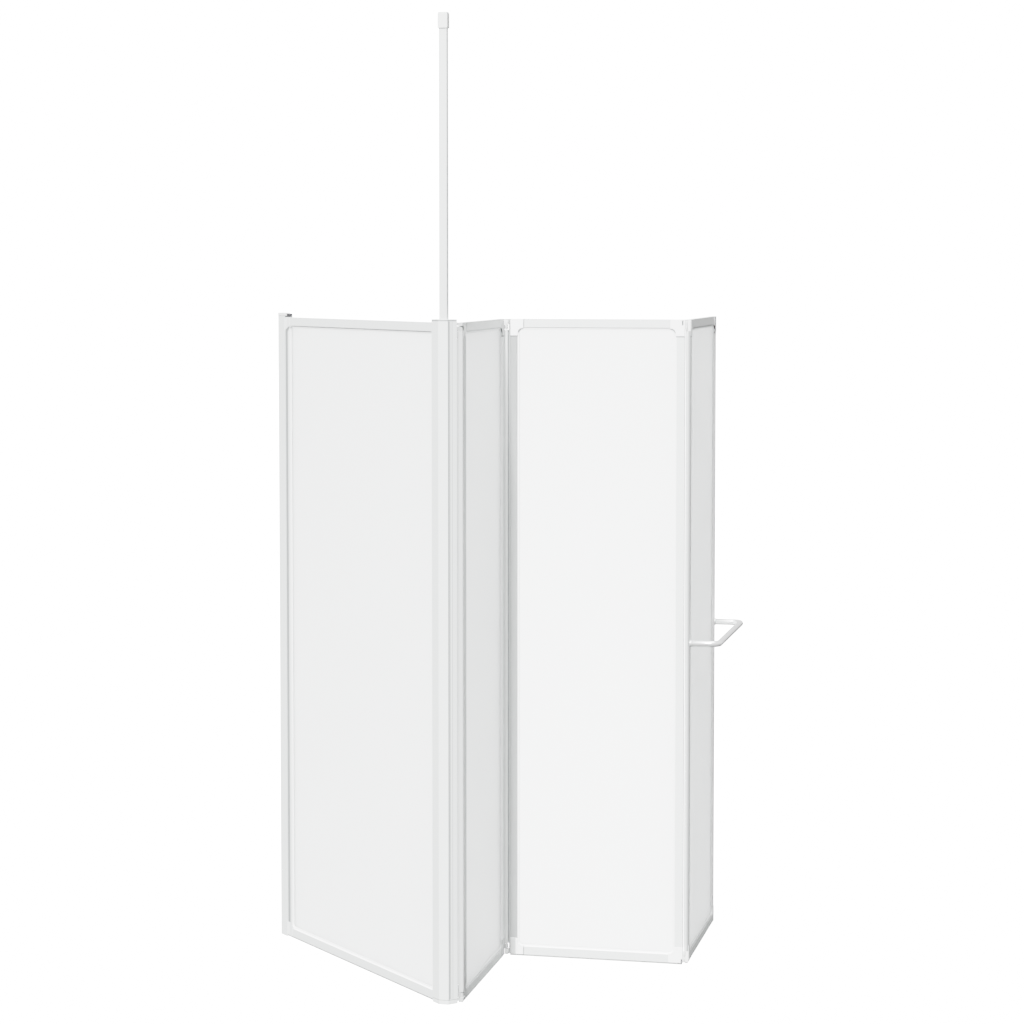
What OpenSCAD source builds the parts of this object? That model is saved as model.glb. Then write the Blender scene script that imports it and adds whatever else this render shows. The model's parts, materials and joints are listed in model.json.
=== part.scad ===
// Folding bath screen: a fixed side panel, a corner post with a ceiling pole and three hinged leaves.
// Millimetres, +Z up. z = 0 is the rim that the screen stands on, and the origin is the axis of the ceiling pole.
// +X runs along the closed front, +Y from the corner post to the wall.

/* [Piece to draw] */
// The sub-part to draw, or all of them

/* [Screen] */
// Height of the leaves and the side panel above the rim
screen_h = 1400; // [1200:10:1600]
// Distance from the pole axis to the wall
wall_y = 698; // [560:2:900]
// Width of one hinged leaf
leaf_w = 386; // [300:2:480]
// Thickness of every frame
frame_t = 10; // [10:0.5:14]
// Height of the soft seals under the frames
seal_h = 4; // [3:0.5:6]
// Width of the soft seals under the frames
seal_w = 6; // [4:0.5:8]

/* [Frame sections] */
// Width of the stiles and rails
frame_w = 20; // [18:0.5:30]
// Width of the sloped edge next to the sheet
bevel_w = 2.4; // [1.5:0.1:7]
// Thickness of the lip that holds the sheet
lip_t = 0.5; // [0.4:0.1:1.4]
// Depth of the groove that takes the sheet
groove_d = 9; // [7:0.5:10]
// Wall of the hollow frame sections
section_wall = 1.5; // [1.2:0.1:2]
// Thickness of the plastic sheets
sheet_t = 3; // [2:0.5:4]
// Thickness of the gasket on each side of a sheet
gasket_t = 0.8; // [0.6:0.1:1]
// How far the gasket shows past the frame
gasket_show = 1.2; // [0.6:0.1:2]
// Gap between a sheet's edge and the groove's floor
sheet_gap = 1; // [0.5:0.1:2]

/* [Corner pieces] */
// How far a corner piece runs along the rail, past the frame's width
corner_more_x = 12; // [8:1:25]
// How far a corner piece runs along the stile, past the frame's width
corner_more_z = 16; // [14:1:30]
// Radius of the inner corner
corner_fillet = 10; // [3:0.5:12]
// Length of the spigots inside the hollow sections
spigot_l = 14; // [8:1:25]
// Clearance round the spigots
spigot_gap = 0.2; // [0.1:0.05:0.4]

/* [Folds at rest] */
// Angle of the first leaf from the closed front
fold_1 = 45; // [0:1:75]
// Fold at the valley hinge
fold_2 = 90; // [0:1:150]
// Fold at the ridge hinge
fold_3 = 90; // [0:1:170]

/* [Hinges] */
// Radius of the hinge pins
pin_r = 2; // [1.5:0.1:2.2]
// Running clearance round the pins
pin_gap = 0.05; // [0.02:0.01:0.1]
// Outer radius of the knuckles
knuckle_r = 4; // [3.8:0.1:4.2]
// Clearance round the knuckles
knuckle_gap = 0.5; // [0.3:0.1:0.8]
// Distance from the first leaf's end to its pivot
pivot_in = 6; // [5.5:0.25:7]
// Distance of the valley axis in front of the leaves
valley_out = 4.2; // [4.2:0.1:5.5]
// Distance from the valley axis to each leaf's end
valley_gap = 4; // [3.5:0.1:5]
// Radius of the seal bead in the valley
bead_r = 3; // [2:0.1:3.4]
// Clearance between the bead and the lip that meets it
wiper_gap = 0.3; // [0.2:0.05:0.5]
// Thickness of that lip
wiper_t = 1; // [0.8:0.1:1.4]
// Distance of the ridge axis behind the leaves and from their ends
ridge_out = 0.3; // [0.3:0.05:0.6]

/* [Hinge levels] */
// Distance from a pivot's slot to the frame's inner edge
slot_back = 2; // [1:0.5:4]
// Height of a knuckle
level_h = 10; // [8:0.5:10]
// Gap between knuckles along the axis
level_gap = 0.5; // [0.3:0.1:0.8]
// How far a pin runs past its knuckles
pin_over = 5; // [3:0.5:6]
// Distance from a leaf's upper or lower end to the bores of its pivot pins
pin_in = 2; // [1.5:0.25:2.5]

/* [Corner post] */
// Offset of the post's outer faces from the pole axis
post_out = 14; // [14:0.5:18]
// Length of the flange over the side panel
flange_y = 25.8; // [24:0.2:32]
// Length of the front flange
flange_x = 22.3; // [21:0.1:26]
// Wall of the post
post_wall = 1.6; // [1.4:0.1:2.2]
// Width of the groove between the facet and the front flange
post_groove_w = 2.6; // [1.5:0.1:4]
// Depth of that groove
post_groove_cut = 1.8; // [0.5:0.1:2]
// Height of the post above the leaves
post_over = 4; // [2:0.5:8]
// Thickness of the post's top cap
post_cap_t = 1.8; // [1.5:0.1:4]
// Height of the post's foot
foot_h = 9; // [6:0.5:15]
// Height of the shadow gap under the cap and over the foot
reveal = 0.8; // [0.4:0.1:1.5]
// Distance from the front flange's end to the first pivot, along the front
pivot_dx = 13; // [13:0.1:16]
// Distance of the first pivot behind the post's front face
pivot_dy = 5.6; // [5:0.1:8]

/* [Pivot brackets] */
// Thickness of the bracket's foot plate
plate_t = 2; // [1.5:0.1:2.4]
// Width of the bracket's arm
arm_w = 6; // [5:0.5:7]
// Width of the bracket's foot plate
plate_w = 10; // [8:0.5:11]
// Length of the foot plate past the arm
plate_over = 16; // [14:0.5:20]
// Radius of the bracket screws' heads
bracket_head_r = 2.4; // [2:0.1:2.8]
// Height of the bracket screws' heads
bracket_head_h = 1.2; // [1:0.1:1.4]
// Radius of the bracket screws' shanks
bracket_screw_r = 1.3; // [1:0.1:1.6]

/* [Ceiling pole] */
// Side of the square pole
pole_s = 16; // [14:0.5:16.5]
// Wall of the pole
pole_wall = 1.5; // [1:0.1:2]
// Height of the pole's top above the rim
pole_top = 2022.5; // [1700:5:2200]
// Length of pole inside the post
pole_in = 400; // [250:10:600]
// Clearance round the pole
pole_gap = 0.2; // [0.15:0.05:0.3]
// Side of the ceiling cap
cap_s = 20; // [19:0.5:26]
// Height of the ceiling cap
cap_h = 30; // [20:1:50]
// Thickness of the cap's top
cap_top = 4; // [2:0.5:6]
// Thickness of the rubber ceiling pad
pad_t = 2; // [1:0.5:5]
// Length of the plug in the pole's lower end
plug_l = 18; // [10:1:30]
// Rim thickness of that plug
plug_rim = 3; // [2:0.5:5]

/* [Wall channel] */
// Depth of the wall channel
channel_d = 28; // [24:1:40]
// Thickness of the channel's sides
channel_side = 1.9; // [1.5:0.1:2.5]
// Thickness of the channel's back
channel_back = 2; // [1.5:0.1:3]
// Clearance between the channel and the side panel
channel_gap = 0.4; // [0.3:0.1:0.8]
// Radius of the wall screw holes
wall_hole_r = 2.75; // [2.25:0.25:3.5]
// Spacing of the outer pair of wall screw holes
wall_holes_outer = 1000; // [800:10:1100]
// Spacing of the inner pair of wall screw holes
wall_holes_inner = 400; // [200:10:600]
// Height of the channel above the leaves
channel_over = 3.4; // [2:0.1:6]
// Height of the channel's cap
channel_cap_h = 6.6; // [4:0.2:12]
// Overhang of the channel's cap
channel_cap_over = 0.6; // [0.3:0.1:1.5]
// Gap between the side panel's end and the wall
side_end_gap = 8; // [6:0.5:12]
// Width of the shadow groove beside the channel
groove_w = 9; // [5:0.5:11]
// Depth of the shadow groove
groove_cut = 1.2; // [0.8:0.1:1.4]
// Width of the wall stile that shows
stile_show = 12.5; // [12:0.5:18]
// Length of the black stop plug
plug_y = 14; // [8:0.5:16]
// Width of the black stop plug
plug_x = 8; // [6:0.5:9.5]
// Height of the black stop plug
plug_z = 8.3; // [5:0.1:12]
// Radius of the channel screws
channel_screw_r = 1.75; // [1.5:0.25:2.25]
// Radius of the channel screws' heads
channel_head_r = 3.5; // [3:0.25:4.5]
// Height of the channel screws' heads
channel_head_h = 2; // [1.5:0.1:2.5]
// Distance of the channel screws from the channel's mouth
channel_screw_in = 10; // [9:0.5:12]
// Distance of the outer channel screws from the ends
channel_screw_z = 160; // [100:10:300]

/* [Towel rail] */
// Radius of the towel rail's tube
rail_r = 7; // [5:0.5:8]
// Projection of the towel rail from the leaf
rail_out = 69; // [50:1:80]
// Radius of the rail's bends
rail_bend = 20; // [14:1:30]
// Height of the towel rail above the rim
rail_z = 700; // [500:10:1000]
// Radius of the rail's flanges
flange_r = 8; // [7.5:0.25:9]
// Thickness of the rail's flanges
flange_t = 3; // [2:0.5:5]
// Radius of the rail's screws
rail_screw_r = 2.5; // [2:0.25:3]
// Length of the screws inside the rail
rail_screw_l = 14; // [8:1:25]
// Radius of the screws' heads
rail_head_r = 4.2; // [3.75:0.15:4.5]
// Height of the screws' heads
rail_head_h = 2.4; // [1.8:0.2:3]

/* [End seal] */
// How far the end seal stands out of the last leaf
end_seal_out = 5; // [3:0.5:8]
// Width of the end seal
end_seal_w = 7; // [5:0.5:9]

/* [Hidden] */
$fn = 48;
eps = 0.01;
pane_half = sheet_t / 2 + gasket_t;
groove_floor = frame_w - groove_d;
sheet_edge = groove_floor + sheet_gap;
half_t = frame_t / 2;
chamber_half = half_t - section_wall;
chamber_end = groove_floor - section_wall;
corner_arm_x = frame_w + corner_more_x;
corner_arm_z = frame_w + corner_more_z;
inner_r = min(corner_fillet, corner_more_x, corner_more_z);
rail_in = groove_floor - rail_screw_r - 0.5;

metal_white = [0.90, 0.92, 0.91];
plastic_white = [0.96, 0.96, 0.96];
sheet_white = [0.93, 0.95, 0.94];
seal_grey = [0.72, 0.74, 0.73];
steel_grey = [0.70, 0.71, 0.72];
plug_black = [0.08, 0.08, 0.09];

// Levels of the hinges, measured from a frame's end: the slot or knuckle nearest the end comes first.
knuckle_a0 = frame_w - slot_back - level_h - 2 * level_gap - pin_over;
pivot_bore_end = knuckle_a0 + 2 * pin_over + level_h + 2 * level_gap;
knuckle_a1 = knuckle_a0 + level_h;
knuckle_b0 = knuckle_a1 + level_gap;
knuckle_b1 = knuckle_b0 + level_h;

// The side panel stands behind the flange of the post.
side_mid = -post_out + 3.6 + half_t + pole_gap;
side_post_y = post_out + pole_gap + 0.2;
side_post_w = flange_y + pole_gap - side_post_y;
side_wall_end = wall_y - side_end_gap;
side_wall_w = channel_d - side_end_gap + groove_w + stile_show;
side_inner = side_wall_end - side_wall_w;
side_post_groove = min(groove_d, side_post_w - 3);
pivot_x = flange_x + pivot_dx;
pivot_y = -post_out + pivot_dy;
socket_half = (pole_s / 2 + pole_gap) * sqrt(2);
channel_w = frame_t + 2 * channel_gap + 2 * channel_side;

// Section of a hollow stile or rail: a runs from its outer edge to the sheet, v across the thickness.
module frame_section(w, cut_d) {
    floor_a = w - cut_d;
    lip = pane_half + lip_t;
    difference() {
        polygon([[0, -half_t], [w - bevel_w, -half_t], [w, -lip], [w, -pane_half], [floor_a, -pane_half],
            [floor_a, pane_half], [w, pane_half], [w, lip], [w - bevel_w, half_t], [0, half_t]]);
        if (floor_a > 3 * section_wall)
            translate([section_wall, -chamber_half])
                square([floor_a - 2 * section_wall, 2 * chamber_half]);
    }
}

// Section of the side panel's wall stile: open towards the wall, with the shadow groove on its outer face.
module wall_stile_section() {
    w = side_wall_w;
    floor_a = w - groove_d;
    lip = pane_half + lip_t;
    hidden = channel_d - side_end_gap;
    difference() {
        polygon([[0, -half_t], [hidden, -half_t], [hidden, -half_t + groove_cut],
            [hidden + groove_w, -half_t + groove_cut], [hidden + groove_w, -half_t], [w - bevel_w, -half_t],
            [w, -lip], [w, -pane_half], [floor_a, -pane_half], [floor_a, pane_half], [w, pane_half], [w, lip],
            [w - bevel_w, half_t], [0, half_t]]);
        translate([-1, -chamber_half])
            square([hidden - section_wall + 1, 2 * chamber_half]);
    }
}

// A leaf's own frame of reference: x along the leaf, y = 0 at mid thickness with the outer face at -half_t.
module at_leaf1() {
    translate([pivot_x, pivot_y, 0]) rotate(fold_1) translate([-pivot_in, 0, 0]) children();
}

module at_valley() {
    at_leaf1() translate([leaf_w + valley_gap, -half_t - valley_out, 0]) children();
}

module at_leaf2() {
    at_valley() rotate(-fold_2) translate([valley_gap, half_t + valley_out, 0]) children();
}

module at_ridge() {
    at_leaf2() translate([leaf_w + ridge_out, half_t + ridge_out, 0]) children();
}

module at_leaf3() {
    at_ridge() rotate(fold_3) translate([ridge_out, -half_t - ridge_out, 0]) children();
}

// Children drawn from a frame's lower end, placed at the lower or the upper end.
module at_end(upper) {
    if (upper) translate([0, 0, screen_h]) mirror([0, 0, 1]) children();
    else translate([0, 0, seal_h]) children();
}

module stile(far) {
    z0 = seal_h + corner_arm_z;
    z1 = screen_h - corner_arm_z;
    if (far) translate([leaf_w, 0, z0]) mirror([1, 0, 0]) linear_extrude(z1 - z0) frame_section(frame_w, groove_d);
    else translate([0, 0, z0]) linear_extrude(z1 - z0) frame_section(frame_w, groove_d);
}

module rail(upper) {
    at_end(upper)
        translate([corner_arm_x, 0, 0]) rotate([90, 0, 90])
            linear_extrude(leaf_w - 2 * corner_arm_x)
                rotate(90) mirror([0, 1, 0]) frame_section(frame_w, groove_d);
}

// One corner piece at a leaf's near end, from the frame's lower edge up, with spigots into both sections.
module corner_blank() {
    difference() {
        union() {
            rotate([90, 0, 0]) linear_extrude(frame_t, center = true) difference() {
                union() {
                    square([corner_arm_x, frame_w]);
                    square([frame_w, corner_arm_z]);
                    square([frame_w + inner_r, frame_w + inner_r]);
                }
                translate([frame_w + inner_r, frame_w + inner_r]) circle(inner_r);
            }
            translate([section_wall + spigot_gap, -chamber_half + spigot_gap, corner_arm_z - eps])
                cube([chamber_end - section_wall - 2 * spigot_gap, 2 * (chamber_half - spigot_gap), spigot_l]);
            translate([corner_arm_x - eps, -chamber_half + spigot_gap, section_wall + spigot_gap])
                cube([spigot_l, 2 * (chamber_half - spigot_gap), chamber_end - section_wall - 2 * spigot_gap]);
        }
        translate([groove_floor, -pane_half, groove_floor]) cube([leaf_w, 2 * pane_half, leaf_w]);
    }
}

// The corner piece of a leaf's near end or, mirrored, of its far end.
module at_side(far) {
    if (far) translate([leaf_w, 0, 0]) mirror([1, 0, 0]) children();
    else children();
}

// Corner piece with the slot for a pivot bracket and the bores for its pin.
module corner_pivot() {
    difference() {
        corner_blank();
        translate([-1, -frame_t, knuckle_a0 + pin_over])
            cube([pivot_in + knuckle_r + knuckle_gap + 1, 2 * frame_t, level_h + 2 * level_gap]);
        translate([pivot_in, 0, pin_in - eps])
            cylinder(r = pin_r + pin_gap, h = pivot_bore_end - pin_in + 2 * eps);
    }
}

// A round knuckle in front of the leaf's end, on a web from the end face, which it enters by bite.
module valley_knuckle(z0, h, r, bore, bite) {
    difference() {
        translate([-valley_gap, -half_t - valley_out, z0]) union() {
            cylinder(r = r, h = h);
            linear_extrude(h)
                polygon([[-r * 0.2, r * 0.6], [valley_gap, valley_out + 4.5], [valley_gap + bite, valley_out + 4.5],
                    [valley_gap + bite, valley_out], [valley_gap, valley_out], [r * 0.8, -r * 0.1]]);
        }
        if (bore > 0)
            translate([-valley_gap, -half_t - valley_out, z0 - 1]) cylinder(r = bore, h = h + 2);
    }
}

// Corner piece with one valley knuckle: the inner level for the first leaf, the end level for the second.
module corner_valley(inner) {
    z0 = inner ? knuckle_b0 : knuckle_a0;
    corner_blank();
    valley_knuckle(z0, level_h, knuckle_r, inner ? pin_r + pin_gap : pin_r, 1);
}

// Corner piece with ridge knuckles round the axis behind the leaf's end, and pockets for the other leaf's.
module corner_ridge(outer_levels) {
    slot_r = knuckle_r + knuckle_gap;
    difference() {
        union() {
            corner_blank();
            if (outer_levels) {
                translate([-ridge_out, half_t + ridge_out, 0]) cylinder(r = knuckle_r, h = knuckle_a0);
                translate([-ridge_out, half_t + ridge_out, knuckle_b0]) cylinder(r = knuckle_r, h = level_h);
            }
            else
                translate([-ridge_out, half_t + ridge_out, knuckle_a0 + level_gap])
                    cylinder(r = knuckle_r, h = level_h - level_gap);
        }
        if (outer_levels) {
            translate([-ridge_out, half_t + ridge_out, knuckle_a0])
                cylinder(r = slot_r, h = knuckle_b0 - knuckle_a0);
            translate([-ridge_out, half_t + ridge_out, -1]) cylinder(r = pin_r, h = knuckle_b1 + 1);
        }
        else {
            translate([-ridge_out, half_t + ridge_out, -1]) cylinder(r = slot_r, h = knuckle_a0 + level_gap + 1);
            translate([-ridge_out, half_t + ridge_out, knuckle_a1])
                cylinder(r = slot_r, h = knuckle_b1 + level_gap - knuckle_a1);
            translate([-ridge_out, half_t + ridge_out, -1]) cylinder(r = pin_r + pin_gap, h = knuckle_b1 + 1);
        }
    }
}

// The sheet and its gasket for an opening from x0 to x1, given at mid thickness.
module pane(x0, x1) {
    translate([x0, -sheet_t / 2, seal_h + sheet_edge])
        cube([x1 - x0, sheet_t, screen_h - seal_h - 2 * sheet_edge]);
}

module pane_gasket(x0, x1, show_0, show_1) {
    z0 = seal_h + sheet_edge;
    z1 = screen_h - sheet_edge;
    lap = frame_w - sheet_edge + gasket_show;
    difference() {
        translate([x0, -pane_half, z0]) cube([x1 - x0, 2 * pane_half, z1 - z0]);
        translate([x0 - 1, -sheet_t / 2, z0 - 1]) cube([x1 - x0 + 2, sheet_t, z1 - z0 + 2]);
        translate([x0 + show_0, -frame_t, z0 + lap])
            cube([x1 - x0 - show_0 - show_1, 2 * frame_t, z1 - z0 - 2 * lap]);
    }
}

module leaf_sheet() {
    color(sheet_white) pane(sheet_edge, leaf_w - sheet_edge);
}

module leaf_gasket() {
    lap = frame_w - sheet_edge + gasket_show;
    color(seal_grey) pane_gasket(sheet_edge, leaf_w - sheet_edge, lap, lap);
}

module leaf_seal() {
    color(seal_grey) translate([2, -seal_w / 2, 0]) cube([leaf_w - 4, seal_w, seal_h]);
}

// The post's section: flanges over the side panel and along the front, joined by the slanted facet.
module post_outline() {
    polygon([[-post_out, flange_y], [-post_out, 0], [0, -post_out], [flange_x, -post_out], [flange_x, 0],
        [post_out, 0], [2.1 + side_mid + half_t, post_out - 2.1 - side_mid - half_t],
        [2.1 + side_mid + half_t, flange_y]]);
}

module post_channel() {
    translate([side_mid - half_t - pole_gap, side_post_y - 0.2])
        square([frame_t + 2 * pole_gap, flange_y]);
}

module post_hollows() {
    w = post_wall;
    front = w + post_groove_cut;
    polygon([[front, -post_out + front], [flange_x - w, -post_out + front], [flange_x - w, -w], [post_out - w, -w]]);
    polygon([[-post_out + w, w], [-post_out + w, post_out - w], [-w, post_out - w]]);
}

module pole_socket(h) {
    rotate(45) translate([-pole_s / 2 - pole_gap, -pole_s / 2 - pole_gap, 0])
        cube([pole_s + 2 * pole_gap, pole_s + 2 * pole_gap, h]);
}

module corner_post() {
    z0 = foot_h + reveal;
    z1 = screen_h + post_over;
    color(metal_white) difference() {
        translate([0, 0, z0]) linear_extrude(z1 - z0) difference() {
            post_outline();
            post_channel();
            post_hollows();
            translate([0.8, -post_out - 1]) square([post_groove_w, post_groove_cut + 1]);
        }
        translate([0, 0, z0 - 1]) pole_socket(z1 - z0 + 2);
        translate([0, 0, screen_h - 60]) rotate([0, 90, 45]) cylinder(r = 2.05, h = 40);
        for (upper = [false, true]) at_bracket(upper) for (z = bracket_screw_levels())
            translate([-6, 0, z]) rotate([0, 90, 0]) cylinder(r = bracket_screw_r, h = 12);
    }
}

module post_top_cap() {
    z0 = screen_h + post_over;
    color(metal_white) difference() {
        union() {
            translate([0, 0, z0]) linear_extrude(reveal + eps) difference() {
                offset(delta = -0.8) post_outline();
                post_channel();
            }
            translate([0, 0, z0 + reveal]) linear_extrude(post_cap_t) post_outline();
        }
        translate([0, 0, z0 - 1]) pole_socket(reveal + post_cap_t + 2);
    }
}

module post_foot() {
    color(metal_white) difference() {
        union() {
            linear_extrude(foot_h) post_outline();
            translate([0, 0, foot_h - eps]) linear_extrude(reveal + eps) offset(delta = -0.8) post_outline();
            translate([0, 0, foot_h]) linear_extrude(reveal + 12) offset(delta = -0.2) post_hollows();
        }
        translate([0, 0, -1]) linear_extrude(foot_h + reveal + 2) post_channel();
    }
}

module at_bracket(upper) {
    at_end(upper) translate([flange_x, pivot_y, knuckle_a0 + pin_over + level_gap + level_h / 2]) children();
}

// The soft strip that closes the gap between the post and the first leaf.
module post_seal() {
    gap_top = seal_h + knuckle_a0 + pin_over + level_gap + level_h + plate_over + 1;
    reach = pivot_dx - norm([pivot_in, half_t]) - 0.6;
    end_h = knuckle_a0 + pin_over - 0.5;
    color(seal_grey) {
        translate([flange_x, pivot_y - 3, gap_top]) cube([reach, 6, screen_h + seal_h - 2 * gap_top]);
        for (upper = [false, true]) at_end(upper) translate([flange_x, pivot_y - 3, 0]) cube([reach, 6, end_h]);
    }
}

function bracket_screw_levels() = [level_h / 2 + plate_over * 0.25, level_h / 2 + plate_over * 0.75];

module pivot_bracket() {
    difference() {
        union() {
            translate([0, -arm_w / 2, -level_h / 2]) cube([pivot_dx, arm_w, level_h]);
            translate([pivot_dx, 0, -level_h / 2]) cylinder(r = knuckle_r, h = level_h);
            translate([0, -plate_w / 2, -level_h / 2]) cube([plate_t, plate_w, level_h + plate_over]);
        }
        translate([pivot_dx, 0, -level_h]) cylinder(r = pin_r, h = 2 * level_h);
        for (z = bracket_screw_levels()) translate([-1, 0, z])
            rotate([0, 90, 0]) cylinder(r = bracket_screw_r, h = plate_t + 2);
    }
}

module pivot_brackets() {
    color(metal_white) for (upper = [false, true]) at_bracket(upper) pivot_bracket();
}

module bracket_screws() {
    color(steel_grey) for (upper = [false, true]) at_bracket(upper) for (z = bracket_screw_levels())
        translate([0, 0, z]) rotate([0, 90, 0]) {
            translate([0, 0, -4]) cylinder(r = bracket_screw_r, h = plate_t + 4);
            translate([0, 0, plate_t]) cylinder(r = bracket_head_r, h = bracket_head_h);
        }
}

module pivot_pins() {
    color(steel_grey) for (upper = [false, true]) at_end(upper)
        translate([flange_x + pivot_dx, pivot_y, pin_in + 0.5])
            cylinder(r = pin_r, h = pivot_bore_end - pin_in - 1);
}

module pole_lock_screw() {
    reach = pole_s / 2 + 0.1;
    face = (post_out) / sqrt(2);
    color(steel_grey) translate([0, 0, screen_h - 60]) rotate([0, 90, 45]) {
        translate([0, 0, reach]) cylinder(r = 2, h = face - reach + 1);
        translate([0, 0, face]) cylinder(r = 4, h = 2.5);
    }
}

module square_rod(s, z0, z1) {
    rotate(45) translate([-s / 2, -s / 2, z0]) cube([s, s, z1 - z0]);
}

module pole_tube() {
    z0 = screen_h + post_over - pole_in;
    color(metal_white) difference() {
        square_rod(pole_s, z0, pole_top - cap_top);
        square_rod(pole_s - 2 * pole_wall, z0 - 1, pole_top);
    }
}

module ceiling_cap() {
    color(plastic_white) difference() {
        square_rod(cap_s, pole_top - cap_h, pole_top);
        square_rod(pole_s, pole_top - cap_h - 1, pole_top - cap_top);
    }
}

module ceiling_pad() {
    color(seal_grey) square_rod(cap_s - 2, pole_top, pole_top + pad_t);
}

module pole_end_plug() {
    z0 = screen_h + post_over - pole_in;
    color(plastic_white) {
        square_rod(pole_s - 2 * pole_wall - 0.1, z0 - eps, z0 + plug_l);
        square_rod(pole_s, z0 - plug_rim, z0);
    }
}

module wall_channel() {
    z1 = screen_h + channel_over;
    color(metal_white) difference() {
        translate([side_mid - channel_w / 2, wall_y - channel_d, 0]) cube([channel_w, channel_d, z1]);
        translate([side_mid - half_t - channel_gap, wall_y - channel_d - 1, -1])
            cube([frame_t + 2 * channel_gap, channel_d - channel_back + 1, z1 + 2]);
        for (pitch = [wall_holes_outer, wall_holes_inner], side = [-1, 1])
            translate([side_mid, wall_y + 1, screen_h / 2 + side * pitch / 2])
                rotate([90, 0, 0]) cylinder(r = wall_hole_r, h = channel_back + 2);
        for (z = channel_screw_levels()) translate([side_mid, wall_y - channel_d + channel_screw_in, z])
            rotate([0, 90, 0]) cylinder(r = channel_screw_r, h = channel_w);
    }
}

function channel_screw_levels() = [channel_screw_z, screen_h / 2 + 60, screen_h - channel_screw_z];

module channel_screws() {
    color(steel_grey) for (z = channel_screw_levels())
        translate([side_mid, wall_y - channel_d + channel_screw_in, z]) rotate([0, 90, 0]) {
            translate([0, 0, half_t - 2 * section_wall])
                cylinder(r = channel_screw_r, h = channel_w / 2 - half_t + 2 * section_wall);
            translate([0, 0, channel_w / 2]) cylinder(r = channel_head_r, h = channel_head_h);
        }
}

module wall_channel_cap() {
    z0 = screen_h + channel_over;
    over = channel_cap_over;
    color(plastic_white) translate([side_mid - channel_w / 2 - over, wall_y - channel_d - over, z0])
        cube([channel_w + 2 * over, channel_d + over, channel_cap_h]);
}

module stop_plug() {
    color(plug_black) translate([side_mid - plug_x / 2, side_inner + bevel_w, screen_h])
        cube([plug_x, plug_y, plug_z]);
}

module side_wall_stile() {
    color(metal_white) difference() {
        translate([side_mid, side_wall_end, seal_h]) rotate(-90)
            linear_extrude(screen_h - seal_h) wall_stile_section();
        for (z = channel_screw_levels()) translate([side_mid, wall_y - channel_d + channel_screw_in, z])
            rotate([0, 90, 0]) cylinder(r = channel_screw_r, h = channel_w);
    }
}

module side_post_stile() {
    color(metal_white) translate([side_mid, side_post_y, seal_h]) rotate(90)
        linear_extrude(screen_h - seal_h) frame_section(side_post_w, side_post_groove);
}

module side_rail(upper) {
    y0 = side_post_y + side_post_w;
    color(metal_white) at_end(upper) translate([side_mid, side_inner, 0]) rotate([90, 0, 0])
        linear_extrude(side_inner - y0) rotate(90) frame_section(frame_w, groove_d);
}

module side_pane() {
    translate([side_mid, 0, 0]) rotate(90) children();
}

module side_sheet() {
    y0 = side_post_y + side_post_w - side_post_groove + sheet_gap;
    y1 = side_inner + groove_d - sheet_gap;
    color(sheet_white) side_pane() pane(y0, y1);
}

module side_gasket() {
    y0 = side_post_y + side_post_w - side_post_groove + sheet_gap;
    y1 = side_inner + groove_d - sheet_gap;
    lap_0 = side_post_groove - sheet_gap + gasket_show;
    lap_1 = groove_d - sheet_gap + gasket_show;
    color(seal_grey) side_pane() pane_gasket(y0, y1, lap_0, lap_1);
}

module side_bottom_seal() {
    color(seal_grey) translate([side_mid - seal_w / 2, side_post_y, 0])
        cube([seal_w, side_wall_end - side_post_y, seal_h]);
}

module leaf1_post_stile() { color(metal_white) at_leaf1() stile(false); }
module leaf1_valley_stile() { color(metal_white) at_leaf1() stile(true); }
module leaf1_top_rail() { color(metal_white) at_leaf1() rail(true); }
module leaf1_bottom_rail() { color(metal_white) at_leaf1() rail(false); }
module leaf1_corners(upper) {
    color(plastic_white) at_leaf1() at_end(upper) {
        corner_pivot();
        at_side(true) corner_valley(true);
    }
}
module leaf1_top_corners() { leaf1_corners(true); }
module leaf1_bottom_corners() { leaf1_corners(false); }
module leaf1_sheet() { at_leaf1() leaf_sheet(); }
module leaf1_gasket() { at_leaf1() leaf_gasket(); }
module leaf1_bottom_seal() { at_leaf1() leaf_seal(); }

// The height between the valley's knuckles, clear of their pins.
valley_z0 = seal_h + knuckle_b1 + 1;
valley_z1 = screen_h - knuckle_b1 - 1;

module valley_seal_bead() {
    color(seal_grey) at_leaf1() at_side(true) valley_knuckle(valley_z0, valley_z1 - valley_z0, bead_r, 0, 0);
}

// The soft lip on the middle leaf that meets the bead.
module valley_lip() {
    reach = norm([valley_gap, valley_out]);
    turn = atan2(valley_out, valley_gap);
    color(seal_grey) at_leaf2() translate([0, 0, valley_z0]) linear_extrude(valley_z1 - valley_z0) difference() {
        translate([-valley_gap, -half_t - valley_out]) rotate(turn)
            translate([bead_r + wiper_gap, 0]) square([reach - bead_r - wiper_gap + 2, wiper_t]);
        translate([0, -frame_t]) square([4, 2 * frame_t]);
    }
}

module leaf2_valley_stile() { color(metal_white) at_leaf2() stile(false); }
module leaf2_ridge_stile() { color(metal_white) at_leaf2() stile(true); }
module leaf2_top_rail() { color(metal_white) at_leaf2() rail(true); }
module leaf2_bottom_rail() { color(metal_white) at_leaf2() rail(false); }
module leaf2_corners(upper) {
    color(plastic_white) at_leaf2() at_end(upper) {
        corner_valley(false);
        at_side(true) corner_ridge(true);
    }
}
module leaf2_top_corners() { leaf2_corners(true); }
module leaf2_bottom_corners() { leaf2_corners(false); }
module leaf2_sheet() { at_leaf2() leaf_sheet(); }
module leaf2_gasket() { at_leaf2() leaf_gasket(); }
module leaf2_bottom_seal() { at_leaf2() leaf_seal(); }

module valley_hinge_pins() {
    color(steel_grey) for (upper = [false, true]) at_valley() at_end(upper)
        translate([0, 0, knuckle_a0 - 0.5]) cylinder(r = pin_r, h = knuckle_b1 - knuckle_a0 + 1);
}

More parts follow.
